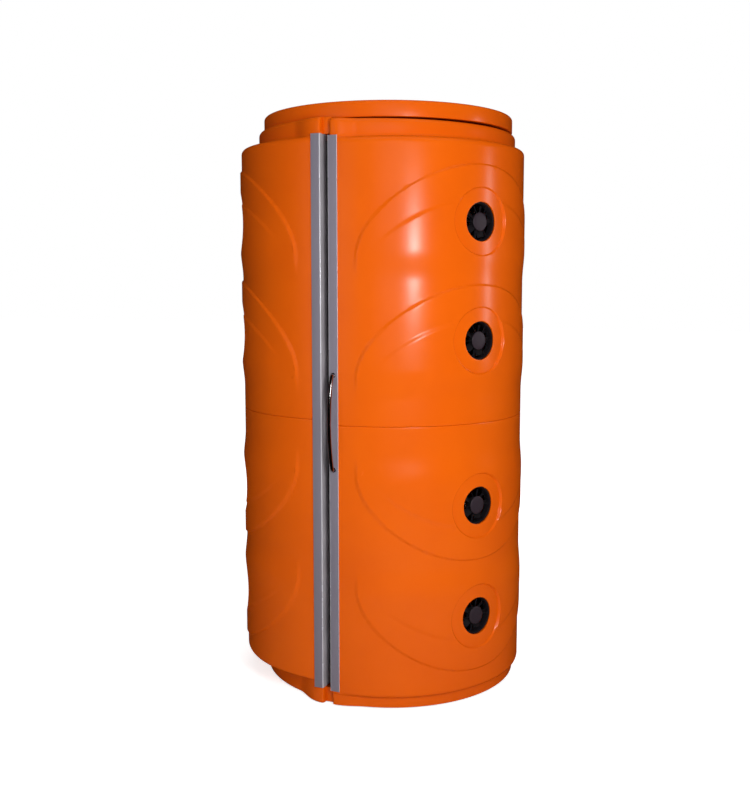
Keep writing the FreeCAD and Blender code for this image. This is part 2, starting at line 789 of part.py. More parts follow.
def ballast_rack():
    """Folded back plate with side lips and a foot, standing on the pan behind the console."""
    outer = box(-rack_half_width, rack_half_width, rack_y - rack_lip, rack_y + rack_sheet, pan_thickness,
                console_top)
    inner = box(rack_sheet - rack_half_width, rack_half_width - rack_sheet, rack_y - rack_lip - 1, rack_y,
                pan_thickness + rack_sheet, high)
    return outer.cut(inner)


def ballast(x, z):
    back = rack_y + rack_sheet
    return box(x, x + ballast_wide, back, back + ballast_deep, z, z + ballast_long)


save("ballast_rack", ballast_rack())
ballast_solids = []
for row in range(ballast_rows):
    z = ballast_first + row * ballast_pitch
    ballast_solids.append(ballast(ballast_inner, z))
    ballast_solids.append(ballast(-ballast_inner - ballast_wide, z))
save("ballasts", Part.makeCompound(ballast_solids))

back_of_cover = rear_centre[1] + rear_radius
front_of_cover = rear_centre[1] + (rear_radius - wall) * math.cos(math.pi / round_sides)
nut_radius = 19.0


def inlet_gland():
    """Cable gland in the rear cover: nuts outside and inside, a cap and the bore for the mains lead."""
    outer_nut = many_sided((0, 0), nut_radius, 6, 0.0, 9.0)
    cap = many_sided((0, 0), gland_radius, 12, 9.0, 24.0)
    barrel = many_sided((0, 0), gland_radius, 12, -16.0, 0.0)
    lock_nut = many_sided((0, 0), nut_radius, 6, -14.0, front_of_cover - back_of_cover - 0.2)
    bore = many_sided((0, 0), gland_radius / 2, 12, -20.0, 30.0)
    gland = fused([outer_nut, cap, barrel, lock_nut]).cut(bore)
    return placed(gland, Vector(1, 0, 0), Vector(0, 0, -1), Vector(0, 1, 0),
                  Vector(0, back_of_cover, gland_height))


save("inlet_gland", inlet_gland())

switch_depth = 26.0
switch_rim = 4.0
rocker_width = 20.0
rocker_tall = 34.0
rocker_play = 0.5
rocker_belly = 10.0         # round underside, about the rocker's axis
rocker_axis_sunk = 4.0


def switch_frame():
    """Rocker switch body through the rear cover, with a rim outside."""
    y = back_of_cover
    half_tall = switch_tall / 2
    barrel = box(-switch_width / 2, switch_width / 2, y - switch_depth, y + 1, switch_height - half_tall,
                 switch_height + half_tall)
    rim = box(-switch_width / 2 - switch_rim, switch_width / 2 + switch_rim, y, y + 3,
              switch_height - half_tall - switch_rim, switch_height + half_tall + switch_rim)
    half_well = rocker_width / 2 + rocker_play
    well = box(-half_well, half_well, y - 18, y + 10, switch_height - rocker_tall / 2 - 3,
               switch_height + rocker_tall / 2 + 3)
    return fused([barrel, rim]).cut(well)


def main_switch():
    """Rocker that tilts about the axis of its round belly; its face dips towards the middle."""
    y = back_of_cover
    half = rocker_tall / 2
    side = -rocker_width / 2
    axis_y = y - rocker_axis_sunk
    low_end = Vector(side, axis_y, switch_height - rocker_belly)
    deepest = Vector(side, axis_y - rocker_belly, switch_height)
    high_end = Vector(side, axis_y, switch_height + rocker_belly)
    face = [high_end, Vector(side, y - 3, switch_height + half), Vector(side, y + 6, switch_height + half),
            Vector(side, y + 3, switch_height), Vector(side, y + 6, switch_height - half),
            Vector(side, y - 3, switch_height - half), low_end]
    outline = Part.Wire([Part.Arc(low_end, deepest, high_end).toShape()] + Part.makePolygon(face).Edges)
    return Part.Face(outline).extrude(Vector(rocker_width, 0, 0))


save("switch_frame", switch_frame())
save("main_switch", main_switch())


# ---- cooling fans -----------------------------------------------------------------------------------------

strut_thickness = 3.5


def spokes(count, start, end, width, bottom, thickness, turn=0.0):
    """Flat bars that run outwards from the middle."""
    bars = []
    for i in range(count):
        bar = Part.makeBox(end - start, width, thickness, Vector(start, -width / 2, bottom))
        bar.rotate(Vector(0, 0, 0), up, 360 * i / count + turn)
        bars.append(bar)
    return bars


def fan_frame(height):
    """Square frame with a round bore, and struts at the back that carry the motor's stator."""
    half = fan_square / 2
    back = fan_front - fan_depth
    frame = Part.makeBox(fan_square, fan_square, fan_depth, Vector(-half, -half, back))
    frame = frame.cut(many_sided((0, 0), fan_bore_radius, 12, back - 1, fan_front + 1))
    stator_top = fan_hub_front - fan_hub_wall - fan_play
    stator = many_sided((0, 0), fan_stator_radius, 6, back, stator_top)
    struts = spokes(3, 0, fan_bore_radius, 9.0, back, strut_thickness, 30.0)
    return at_vent(fused([frame, stator] + struts), height)


def rotor_shape(hub, hub_wall, front, depth, tip, blades, chord, pitch):
    """Hub cup that covers the stator, with flat pitched blades, on local Z."""
    cup = many_sided((0, 0), hub, 2 * blades, front - depth, front)
    pieces = [cup]
    for i in range(blades):
        blade = Part.makeBox(tip - hub + 6, chord, 2.5, Vector(hub - 6, -chord / 2, -1.25))
        blade.rotate(Vector(0, 0, 0), Vector(1, 0, 0), pitch)
        blade.translate(Vector(0, 0, front - depth / 2))
        blade.rotate(Vector(0, 0, 0), up, 360 * i / blades)
        pieces.append(blade)
    hollow = many_sided((0, 0), hub - hub_wall, 2 * blades, front - depth - 1, front - hub_wall)
    return fused(pieces).cut(hollow)


def guard_shape(hub, reach, count, bar, bottom, thickness):
    """Finger guard: a centre plate and spokes that rest on the frame."""
    plate = many_sided((0, 0), hub, 12, bottom, bottom + thickness)
    return fused([plate] + spokes(count, hub - 3, reach, bar, bottom, thickness))


rotor = rotor_shape(fan_hub_radius, fan_hub_wall, fan_hub_front, fan_hub_depth, fan_blade_radius, fan_blades,
                    fan_blade_chord, fan_blade_pitch)
guard = guard_shape(guard_hub_radius, guard_reach, guard_spokes, guard_bar, fan_front, guard_thickness)
door_fans = [vent for vent, side in vents_of(door_half)]
left_fans = [vent for vent, side in vents_of(left_half)]
save("door_fan_frames", Part.makeCompound([fan_frame(height) for height in door_fans]))
save("left_fan_frames", Part.makeCompound([mirrored(fan_frame(height)) for height in left_fans]))
save("door_fan_guards", Part.makeCompound([at_vent(guard, height) for height in door_fans]))
save("left_fan_guards", Part.makeCompound([mirrored(at_vent(guard, height)) for height in left_fans]))
for number in range(1, len(door_fans) + 1):
    save("door_fan_rotor_%d" % number, at_vent(rotor, door_fans[number - 1]))
    save("left_fan_rotor_%d" % number, mirrored(at_vent(rotor, left_fans[number - 1])))


# ---- base, deck, ceiling and cap --------------------------------------------------------------------------

def standing_deck():
    """Moulded platform with a stepped upper edge, standing on the pan."""
    lower = many_sided(ring_centre, deck_radius, round_sides, pan_thickness, deck_top - deck_ease)
    upper = many_sided(ring_centre, deck_radius - deck_ease, round_sides, deck_top - deck_ease, deck_top)
    return fused([lower, upper])


def deck_mat():
    """Eight-sided anti-slip mat with raised ribs."""
    sheet = many_sided(ring_centre, mat_radius, 8, deck_top, deck_top + mat_thickness / 2)
    pieces = [sheet]
    count = int(1.7 * mat_radius / mat_rib_pitch)
    for i in range(count):
        x = (i - (count - 1) / 2) * mat_rib_pitch
        reach = math.sqrt((mat_radius * 0.88) ** 2 - x * x)
        pieces.append(box(x - mat_rib / 2, x + mat_rib / 2, ring_centre[1] - reach, ring_centre[1] + reach,
                          deck_top + mat_thickness / 2, deck_top + mat_thickness))
    return fused(pieces)


save("base_pan", many_sided((0, 0), pan_radius, round_sides, 0.0, pan_thickness))
save("standing_deck", standing_deck())
save("deck_mat", deck_mat())

brim_hole = collar_hole_radius + 2.0
exhaust_hole = exhaust_radius + 0.4


def top_cap():
    """Shallow round lid, resting on the fixed collars: an eased rim and the sheet bonded onto it."""
    edge = eased((cap_radius, cap_top), cap_ease, (0, -1), (-1, 0))
    inside = cap_radius - cap_wall
    lid = turned([(0, brim), (cap_radius, brim)] + edge + [(0, cap_top)], cap_centre)
    lid = lid.cut(many_sided(cap_centre, inside, round_sides, brim + cap_wall, cap_top - cap_ease - cap_wall))
    lid = lid.cut(many_sided(cap_centre, inside - cap_ease, round_sides, brim + cap_wall, cap_top - cap_wall))
    lid = lid.cut(many_sided((0, 0), brim_hole, round_sides, brim - 1, brim + cap_wall + 1))
    lid = lid.cut(many_sided((0, 0), exhaust_hole, round_sides, low, high))
    sheet_bottom = cap_top - cap_wall
    return Part.makeCompound([between(lid, low, sheet_bottom), between(lid, sheet_bottom, high)])


def ceiling_panel():
    """Flat round panel over the cabin, open in the middle for the exhaust."""
    top = ceiling_bottom + ceiling_thickness
    panel = many_sided(ring_centre, ceiling_radius, round_sides, ceiling_bottom, top)
    return panel.cut(many_sided((0, 0), exhaust_hole, round_sides, low, high))


hanger_azimuths = [45.0, 135.0, 225.0, 315.0]
hanger_width = 40.0
hanger_sheet = 3.0
hanger_foot = (300.0, 340.0)    # where it stands on the ceiling, from the middle outwards
hanger_end = 458.0              # its arm rests on the cap's brim


def ceiling_hanger(azimuth):
    """Folded strap that carries the ceiling from the cap's brim."""
    foot_start, foot_end = hanger_foot
    side = hanger_width / 2
    floor = ceiling_bottom + ceiling_thickness
    rest = brim + cap_wall
    foot = box(foot_start, foot_end, -side, side, floor, floor + hanger_sheet)
    upright = box(foot_end - hanger_sheet, foot_end, -side, side, floor, rest + hanger_sheet)
    arm = box(foot_end - hanger_sheet, hanger_end, -side, side, rest, rest + hanger_sheet)
    return fused([foot, upright, arm]).rotated(Vector(0, 0, 0), up, azimuth)


save("top_cap", top_cap())
save("ceiling_panel", ceiling_panel())
save("ceiling_hangers", Part.makeCompound([ceiling_hanger(azimuth) for azimuth in hanger_azimuths]))

exhaust_motor_top = 2128.0
exhaust_motor_depth = 26.0
exhaust_rotor_top = 2176.0
exhaust_rotor_depth = 44.0
exhaust_ring_thickness = 4.0
exhaust_blade_chord = 70.0
exhaust_play = 5.0
grille_bars = 5
grille_bar = 4.0


def exhaust_housing():
    """Duct from the ceiling to the top of the cap, with struts and the motor."""
    body = many_sided((0, 0), exhaust_radius, round_sides, ceiling_bottom, cap_top)
    body = body.cut(many_sided((0, 0), exhaust_radius - exhaust_wall, round_sides, low, high))
    motor = many_sided((0, 0), exhaust_hub_radius - 12, 12, exhaust_motor_top - exhaust_motor_depth,
                       exhaust_motor_top + exhaust_rotor_depth - 14)
    bars = spokes(4, 0, exhaust_radius - 3, 12.0, exhaust_motor_top - exhaust_motor_depth, 8.0, 45.0)
    return fused([body, motor] + bars)


def exhaust_bars(bottom):
    """Straight bars across the duct."""
    bars = []
    inside = exhaust_radius - exhaust_wall - 1.5
    for i in range(grille_bars):
        x = (i - (grille_bars - 1) / 2) * 2 * inside / (grille_bars + 1)
        reach = math.sqrt(inside * inside - (abs(x) + grille_bar / 2) ** 2)
        bars.append(box(x - grille_bar / 2, x + grille_bar / 2, -reach, reach, bottom, bottom + 3))
    cross = box(-inside, inside, -grille_bar / 2, grille_bar / 2, bottom, bottom + 3)
    return fused(bars + [cross])


def exhaust_ring():
    """Flat ring on the cap that holds the end of the duct and the upper bars."""
    top = cap_top + exhaust_ring_thickness
    ring = many_sided((0, 0), exhaust_radius + exhaust_flange, round_sides, cap_top, top)
    return ring.cut(many_sided((0, 0), exhaust_radius - exhaust_wall - 3, round_sides, low, high))


save("exhaust_housing", exhaust_housing())
exhaust_blade_radius = exhaust_radius - exhaust_wall - exhaust_play
save("exhaust_rotor", rotor_shape(exhaust_hub_radius, fan_hub_wall, exhaust_rotor_top, exhaust_rotor_depth,
                                  exhaust_blade_radius, exhaust_blades, exhaust_blade_chord, 32.0))
save("exhaust_grilles", Part.makeCompound([exhaust_bars(ceiling_bottom + 1),
                                           fused([exhaust_bars(cap_top), exhaust_ring()])]))

grab_half = 190.0
grab_drop = 82.0
grab_y = 40.0
grab_tube = 11.0
grab_bend = 30.0
grab_flange = 24.0
grab_sides = 8


def grab_bar():
    """Overhead bar for the hands, bent down from two round flanges under the ceiling."""
    z_low = ceiling_bottom - grab_drop
    post_bottom = z_low + grab_bend
    pieces = []
    for side in (-1, 1):
        x = side * grab_half
        pieces.append(many_sided((x, grab_y), grab_flange, 12, ceiling_bottom - 5, ceiling_bottom))
        pieces.append(many_sided((x, grab_y), grab_tube, grab_sides, post_bottom, ceiling_bottom))
        section = many_sided((x, grab_y), grab_tube, grab_sides, post_bottom, post_bottom + 1)
        foot = [face for face in section.Faces if face.BoundBox.ZMax < post_bottom + 0.01][0].OuterWire
        pivot = Vector(x - side * grab_bend, grab_y, post_bottom)
        turns = [foot.rotated(pivot, Vector(0, 1, 0), side * angle) for angle in (0, 30, 60, 90)]
        pieces.append(Part.makeLoft(turns, True, True))
    bar = many_sided((0, 0), grab_tube, grab_sides, grab_bend - grab_half, grab_half - grab_bend)
    pieces.append(placed(bar, up, Vector(0, -1, 0), Vector(1, 0, 0), Vector(0, grab_y, z_low)))
    return fused(pieces)


save("grab_bar", grab_bar())
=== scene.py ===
import bpy
import bmesh
import json
import math
from mathutils import Matrix, Vector


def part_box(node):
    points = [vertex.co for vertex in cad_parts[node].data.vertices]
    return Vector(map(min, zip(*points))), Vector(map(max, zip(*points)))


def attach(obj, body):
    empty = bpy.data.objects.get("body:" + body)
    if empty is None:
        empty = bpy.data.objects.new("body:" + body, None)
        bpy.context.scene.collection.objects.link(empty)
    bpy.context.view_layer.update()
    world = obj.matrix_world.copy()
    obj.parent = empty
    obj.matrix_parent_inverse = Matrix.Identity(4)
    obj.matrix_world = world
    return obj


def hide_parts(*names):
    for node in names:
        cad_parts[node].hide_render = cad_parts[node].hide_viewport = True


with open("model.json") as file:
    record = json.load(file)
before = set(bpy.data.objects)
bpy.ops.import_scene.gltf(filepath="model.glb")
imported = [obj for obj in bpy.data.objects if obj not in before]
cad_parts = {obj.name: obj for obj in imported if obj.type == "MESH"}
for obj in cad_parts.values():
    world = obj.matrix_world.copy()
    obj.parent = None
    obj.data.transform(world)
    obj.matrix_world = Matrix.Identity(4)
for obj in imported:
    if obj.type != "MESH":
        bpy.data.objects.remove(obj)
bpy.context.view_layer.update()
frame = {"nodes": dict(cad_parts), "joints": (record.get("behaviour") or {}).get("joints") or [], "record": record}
nodes = frame["nodes"]
joints = {joint["name"]: joint for joint in frame["joints"]}
scene = bpy.context.scene
print("frame loaded:", len(nodes), "nodes")


# small helpers

smoothLimit = 35  # faces that meet at more degrees than this keep a crisp edge
mergeDistance = 1e-6
onPlane = 1e-4  # a point this close to a plane lies in it
sameHeight = 1e-5
upwards = Vector((0, 0, 1))


def newPiece(name, mesh, body, slot, *replaced):
    piece = bpy.data.objects.new(name, mesh)
    scene.collection.objects.link(piece)
    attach(piece, body)
    if replaced:
        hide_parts(*replaced)
    return piece


def meshFrom(bm, name, *materials, smoothAngle=smoothLimit):
    for face in bm.faces:
        face.smooth = True
    for edge in bm.edges:
        if len(edge.link_faces) == 2 and edge.calc_face_angle(0) > math.radians(smoothAngle):
            edge.smooth = False
    mesh = bpy.data.meshes.new(name)
    bm.to_mesh(mesh)
    bm.free()
    for material in materials:
        mesh.materials.append(material)
    return mesh


def merge(bm):
    bmesh.ops.remove_doubles(bm, verts=bm.verts, dist=mergeDistance)


def closeUp(bm):
    merge(bm)
    bmesh.ops.recalc_face_normals(bm, faces=bm.faces)


def smoothstep(low, high, value):
    t = min(max((value - low) / (high - low), 0.0), 1.0)
    return t * t * (3 - 2 * t)


def quarter(steps):
    # (sine, cosine) pairs up a quarter turn
    angles = [0.5 * math.pi * i / steps for i in range(steps + 1)]
    return [(math.sin(a), math.cos(a)) for a in angles]


def roundCorner(corner, before, after, radius, steps=5):
    # points of a quarter round between two perpendicular directions
    points = []
    for sine, cosine in quarter(steps):
        points.append((corner[0] + radius * (before[0] * (1 - sine) + after[0] * (1 - cosine)),
                       corner[1] + radius * (before[1] * (1 - sine) + after[1] * (1 - cosine))))
    return points


def spunProfile(bm, points, steps, centre=(0, 0)):
    # a profile of (radius, height) points turned once round an upright axis
    verts = [bm.verts.new((centre[0] + r, centre[1], z)) for r, z in points]
    edges = [bm.edges.new((verts[i], verts[i + 1])) for i in range(len(verts) - 1)]
    bmesh.ops.spin(bm, geom=verts + edges, cent=(centre[0], centre[1], 0), axis=(0, 0, 1), angle=2 * math.pi,
                   steps=steps, use_merge=True)


def edgesOf(verts):
    return list(dict.fromkeys(edge for vert in verts for edge in vert.link_edges))


def facesOf(verts):
    return list(dict.fromkeys(face for vert in verts for face in vert.link_faces))


def loft(bm, rings):
    # a skin over rings of points, each edge ring extruded to the next
    circle = bmesh.ops.create_circle(bm, segments=len(rings[0]), radius=1.0)["verts"]
    order = {vert: i for i, vert in enumerate(circle)}
    for vert, i in order.items():
        vert.co = rings[0][i]
    edges = edgesOf(circle)
    first = edges
    for ring in rings[1:]:
        edges, order = extrudeRing(bm, edges, order)
        for vert, i in order.items():
            vert.co = ring[i]
    return first, edges


def extrudeRing(bm, edges, order):
    # extrudes an edge ring and carries each vertex's number over to its copy
    made = bmesh.ops.extrude_edge_only(bm, edges=edges)["geom"]
    carried = {}
    for vert in (item for item in made if isinstance(item, bmesh.types.BMVert)):
        for edge in vert.link_edges:
            if edge.other_vert(vert) in order:
                carried[vert] = order[edge.other_vert(vert)]
    return [item for item in made if isinstance(item, bmesh.types.BMEdge) and item.is_boundary], carried


def cappedLoft(bm, rings):
    for edges in loft(bm, rings):
        bmesh.ops.contextual_create(bm, geom=edges)


def tube(bm, path, radius, sides, across):
    rings = []
    for i, point in enumerate(path):
        along = (path[min(i + 1, len(path) - 1)] - path[max(i - 1, 0)]).normalized()
        side = along.cross(across)
        turns = [2 * math.pi * k / sides for k in range(sides)]
        rings.append([point + (across * math.cos(a) + side * math.sin(a)) * radius for a in turns])
    cappedLoft(bm, rings)


def bend(before, corner, after, steps=8):
    # a smooth turn between two stretches of a path
    points = []
    for i in range(steps + 1):
        t = i / steps
        points.append(before * (1 - t) ** 2 + corner * (2 * t * (1 - t)) + after * t ** 2)
    return points


def block(bm, low, high, edge, segments=2):
    # a box with eased edges
    made = bmesh.ops.create_cube(bm, size=1.0)["verts"]
    for vert in made:
        vert.co = [(low[k] + high[k]) / 2 + (high[k] - low[k]) * vert.co[k] for k in range(3)]
    bmesh.ops.bevel(bm, geom=edgesOf(made), offset=edge, affect="EDGES", segments=segments, profile=0.5,
                    material=-1)


def gridOf(bm, points):
    # a sheet over rows of points
    rows = len(points) - 1
    columns = len(points[0]) - 1
    made = bmesh.ops.create_grid(bm, x_segments=columns, y_segments=rows, size=1.0)["verts"]
    for vert in made:
        i = round((vert.co.x + 1) / 2 * columns)
        j = round((vert.co.y + 1) / 2 * rows)
        vert.co = points[j][i]
    return made


def moveAdded(bm, start, place):
    # moves what was added since the mesh had start vertices
    bm.verts.ensure_lookup_table()
    bmesh.ops.transform(bm, matrix=place, verts=bm.verts[start:])


def addCopies(bm, source, places):
    for place in places:
        start = len(bm.verts)
        bm.from_mesh(source)
        moveAdded(bm, start, place)


def copies(source, places):
    # one mesh with a copy of the source at each place
    bm = bmesh.new()
    addCopies(bm, source, places)
    bmesh.ops.recalc_face_normals(bm, faces=bm.faces)
    return bm


def inMesh(bm):
    mesh = bpy.data.meshes.new("pattern")
    bm.to_mesh(mesh)
    bm.free()
    return mesh


def ringAt(radius, z, sides, turn=0.0, centre=(0, 0)):
    # the corners of a level ring, turned on by a share of one side
    ring = []
    for i in range(sides):
        a = 2 * math.pi * (i + turn) / sides
        ring.append(Vector((centre[0] + radius * math.cos(a), centre[1] + radius * math.sin(a), z)))
    return ring


def turnedPlace(x, y, z, origin):
    # carries the three axes to these directions and the origin to a point
    place = Matrix((x, y, z)).transposed().to_4x4()
    place.translation = origin
    return place


def outward(bm, middle):
    # an open sheet has no inside of its own, so its faces are turned away from the booth's axis
    bmesh.ops.recalc_face_normals(bm, faces=bm.faces)
    face = max(bm.faces, key=lambda item: (item.calc_center_median() - middle).xy.length)
    if face.normal.dot(face.calc_center_median() - middle) < 0:
        bmesh.ops.reverse_faces(bm, faces=bm.faces)


def addWall(piece, thickness):
    solid = piece.modifiers.new("wall", "SOLIDIFY")
    solid.thickness = thickness
    solid.offset = -1
    solid.use_even_offset = False


# materials

def noiseNode(tree, scale, detail=3.0, roughness=0.5, stretch=None):
    coords = tree.nodes.new("ShaderNodeTexCoord")
    noise = tree.nodes.new("ShaderNodeTexNoise")
    noise.inputs["Scale"].default_value = scale
    noise.inputs["Detail"].default_value = detail
    noise.inputs["Roughness"].default_value = roughness
    if stretch:
        mapping = tree.nodes.new("ShaderNodeMapping")
        mapping.inputs["Scale"].default_value = stretch
        tree.links.new(coords.outputs["Object"], mapping.inputs["Vector"])
        tree.links.new(mapping.outputs["Vector"], noise.inputs["Vector"])
    else:
        tree.links.new(coords.outputs["Object"], noise.inputs["Vector"])
    return noise


def rangeNode(tree, source, low, high, fromLow=0.3, fromHigh=0.7):
    ramp = tree.nodes.new("ShaderNodeMapRange")
    ramp.inputs["From Min"].default_value = fromLow
    ramp.inputs["From Max"].default_value = fromHigh
    ramp.inputs["To Min"].default_value = low
    ramp.inputs["To Max"].default_value = high
    tree.links.new(source, ramp.inputs["Value"])
    return ramp


def mixColours(tree, factor, first, second):
    mix = tree.nodes.new("ShaderNodeMix")
    mix.data_type = "RGBA"
    mix.inputs["A"].default_value = (*first, 1)
    mix.inputs["B"].default_value = (*second, 1)
    tree.links.new(factor, mix.inputs["Factor"])
    return mix


def surface(name, colour, shade, roughness, metallic=0.0, coat=0.0, coatRoughness=0.08, grainScale=40.0,
            grain=0.0, patchScale=3.0, specular=0.5, stretch=None):
    # one finish: soft patches in colour and sheen, and a fine grain in relief
    material = bpy.data.materials.new(name)
    material.use_nodes = True
    tree = material.node_tree
    shader = tree.nodes["Principled BSDF"]
    patches = rangeNode(tree, noiseNode(tree, patchScale).outputs["Fac"], 0, 1)
    colourMix = mixColours(tree, patches.outputs["Result"], colour, shade)
    tree.links.new(colourMix.outputs["Result"], shader.inputs["Base Color"])
    smears = noiseNode(tree, patchScale * 4, 5.0)
    sheen = rangeNode(tree, smears.outputs["Fac"], roughness * 0.85, roughness * 1.2)
    tree.links.new(sheen.outputs["Result"], shader.inputs["Roughness"])
    shader.inputs["Metallic"].default_value = metallic
    shader.inputs["Coat Weight"].default_value = coat
    shader.inputs["Coat Roughness"].default_value = coatRoughness
    shader.inputs["Specular IOR Level"].default_value = specular
    if grain:
        bump = tree.nodes.new("ShaderNodeBump")
        bump.inputs["Strength"].default_value = 1.0
        bump.inputs["Distance"].default_value = grain
        fine = noiseNode(tree, grainScale, 4.0, stretch=stretch)
        tree.links.new(fine.outputs["Fac"], bump.inputs["Height"])
        tree.links.new(bump.outputs["Normal"], shader.inputs["Normal"])
    return material


brushed = (1.0, 1.0, 0.01)
looks = {
    "orange": surface("orangeGelCoat", (0.80, 0.120, 0.0008), (0.75, 0.105, 0.0006), 0.42, coat=1.0,
                      coatRoughness=0.23, grainScale=30.0, grain=0.00020, specular=0.0),
    "anodised": surface("anodisedAluminium", (0.50, 0.46, 0.56), (0.44, 0.41, 0.50), 0.36, metallic=0.6,
                        grainScale=900.0, grain=0.00002, patchScale=1.5, stretch=brushed),
    # glossy anodised for the profile's legs in the seam, paler than the face: painted light that lifts the seam's
    # shade
    "seamLegPaintedLight": surface("seamLegAnodisedPaintedLight", (0.62, 0.58, 0.62), (0.40, 0.37, 0.40), 0.18, metallic=0.15,
                         coat=0.6, coatRoughness=0.05, grainScale=14.0, grain=0.0008, patchScale=5.0),
    # pale colour for the profile's nose and outer end: a painted highlight
    "paintedHighlightEdge": surface("paintedHighlightEdge", (0.82, 0.81, 0.86), (0.74, 0.73, 0.78), 0.25, metallic=0.35,
                          grainScale=900.0, grain=0.00001, patchScale=1.5, stretch=brushed),
    "chrome": surface("darkChrome", (0.40, 0.37, 0.37), (0.33, 0.31, 0.31), 0.12, metallic=1.0,
                      grainScale=120.0, grain=0.00001),
    "blackPlastic": surface("blackPlastic", (0.008, 0.006, 0.008), (0.012, 0.010, 0.012), 0.50,
                            grainScale=700.0, grain=0.00008, specular=0.2),
    "hubPlastic": surface("darkHubPlastic", (0.034, 0.022, 0.030), (0.027, 0.018, 0.024), 0.45,
                          grainScale=500.0, grain=0.00006),
    "rotorPlastic": surface("rotorPlastic", (0.008, 0.007, 0.008), (0.012, 0.010, 0.012), 0.55,
                            grainScale=500.0, grain=0.00005, specular=0.12),
    "rubber": surface("blackRubber", (0.012, 0.012, 0.012), (0.022, 0.021, 0.020), 0.65, grainScale=300.0,
                      grain=0.0002),
    "zinc": surface("zincSteel", (0.45, 0.45, 0.43), (0.36, 0.36, 0.35), 0.32, metallic=1.0, grainScale=80.0,
                    grain=0.00004, patchScale=12.0),
    "lampGlass": surface("lampGlass", (0.74, 0.77, 0.84), (0.70, 0.74, 0.82), 0.16, coat=0.4,
                         grainScale=200.0, grain=0.00001),
    "whitePlastic": surface("whitePlastic", (0.70, 0.70, 0.68), (0.66, 0.66, 0.64), 0.40, grainScale=400.0,
                            grain=0.00005),
    "mirror": surface("mirrorSheet", (0.78, 0.79, 0.81), (0.72, 0.74, 0.77), 0.12, metallic=1.0,
                      grainScale=30.0, grain=0.00004),
    "whiteSteel": surface("whitePowderCoat", (0.72, 0.72, 0.70), (0.68, 0.68, 0.67), 0.45, grainScale=600.0,
                          grain=0.00006),
    "darkSteel": surface("blackPowderCoat", (0.022, 0.022, 0.024), (0.030, 0.030, 0.032), 0.50,
                         grainScale=600.0, grain=0.00006),
    "panel": surface("glossPanel", (0.010, 0.010, 0.012), (0.014, 0.014, 0.016), 0.12, coat=0.5),
    "green": surface("greenKey", (0.02, 0.28, 0.05), (0.02, 0.24, 0.04), 0.28, coat=0.3),
    "red": surface("redKey", (0.50, 0.012, 0.010), (0.42, 0.010, 0.008), 0.28, coat=0.3),
    "mat": surface("ribbedRubber", (0.022, 0.022, 0.022), (0.034, 0.033, 0.032), 0.70, grainScale=350.0,
                   grain=0.0003),
    "deck": surface("deckPlastic", (0.10, 0.10, 0.11), (0.085, 0.085, 0.095), 0.50, grainScale=250.0,
                    grain=0.0002),
}

slotLooks = {
    "orange_shell": "orange", "anodised": "anodised", "dark_chrome": "chrome", "zinc_steel": "zinc",
    "black_plastic": "blackPlastic", "rotor_plastic": "rotorPlastic", "rail_white": "whitePlastic",
    "seal_rubber": "rubber", "mat_rubber": "mat", "deck_grey": "deck", "lamp_glass": "lampGlass",
    "mirror_sheet": "mirror", "white_steel": "whiteSteel", "dark_steel": "darkSteel",
    "panel_black": "panel", "start_green": "green", "stop_red": "red",
}
nodeSlots = {row["node"]: row["material_slot"] for row in frame["record"]["subparts"]}
for name, node in nodes.items():
    node.data.materials.clear()
    node.data.materials.append(looks[slotLooks[nodeSlots[name]]])
print("materials made:", len(looks))


def savePiece(bm, name, body, *finishes, smoothAngle=smoothLimit):
    # the finished mesh takes the place of the solid of that name
    slot = nodeSlots[name]
    materials = [looks[finish] for finish in finishes or (slotLooks[slot],)]
    return newPiece(name + "_fine", meshFrom(bm, name, *materials, smoothAngle=smoothAngle), body, slot, name)


# embossed mouldings of the two halves

shell = {
    "skinRadius": 0.515,
    "skinCentre": (0.042, -0.054),
    "borderRadius": 0.511,
    "wall": 0.004,
    "topRound": 0.018,
    "bottomRound": 0.014,
    "edgeShare": 0.6,  # the most of a step that its rounded edge takes
    "coveShare": 0.4,  # and its cove
    "shoulderRise": 0.022,
    "shoulderReach": 0.117,
    "shoulderStops": (0.35, 0.7, 1.0),
    "cove": 0.012,
    "footCove": 0.004,
    "collarRound": 0.016,
    "rim": 0.003,
    "lidRadii": (0.475, 0.450),
    "seamPlane": 0.018,
    "seamRound": 0.008,
    "hingeRound": 0.003,
    "wallDepth": -0.396,
    "innerReach": 0.358,
    "jointLip": 0.0036,
    "columnAngle": math.radians(0.6),
    "rowHeight": 0.006,
    "collarSeat": 0.010,
    "insideY": -0.1,
}
halves = {
    # gap to the hinge plane, and the set-back rings above and below the skin: radius, centre, and where the
    # border beside the seam starts and stops fading
    "door": {"body": "door", "gap": 0.0055, "neck": (0.547, (-0.044, 0.0), (0.034, 0.112)),
             "plinth": (0.494, (0.042, -0.054), (0.030, 0.150))},
    "left": {"body": "cabinet", "gap": 0.0004, "neck": (0.547, (-0.044, 0.0), (0.022, 0.160)),
             "plinth": (0.532, (-0.044, 0.0), (0.022, 0.170))},
}
emboss = {
    "ventAngle": math.radians(61.3),
    "halfWidth": 0.415,
    "outerRise": 0.204,
    "outerHeight": 0.340,
    "innerRise": 0.082,
    "innerHeight": 0.315,
    "outerStep": 0.006,
    "innerStep": 0.003,
    "edgeWidth": 0.0075,
    "plateau": 0.095,
    "fade": 0.210,
    "innerFadeStart": 0.375,
    "innerFadeEnd": 0.300,
    "pocketRadius": 0.118,
    "pocketWall": 0.005,
    "ventRadius": 0.070,
    "seatDepth": 0.011,
    "patch": 0.129,  # half of the square that is cut out round a vent
    "cutReach": 0.25,
    "rimReach": 0.2,
    "ringRadii": (0.1255, 0.1232, 0.1215, 0.1195, 0.118, 0.1165, 0.112, 0.100, 0.088, 0.077, 0.0725, 0.0710),
    "lip": ((0.0003, 0.0003), (0.0, 0.0012), (0.0, 0.0032)),  # beyond the vent's radius, and below the skin
}
hingeAngle = math.radians(123.0)
hingeAcross = Vector((math.cos(hingeAngle), math.sin(hingeAngle), 0))
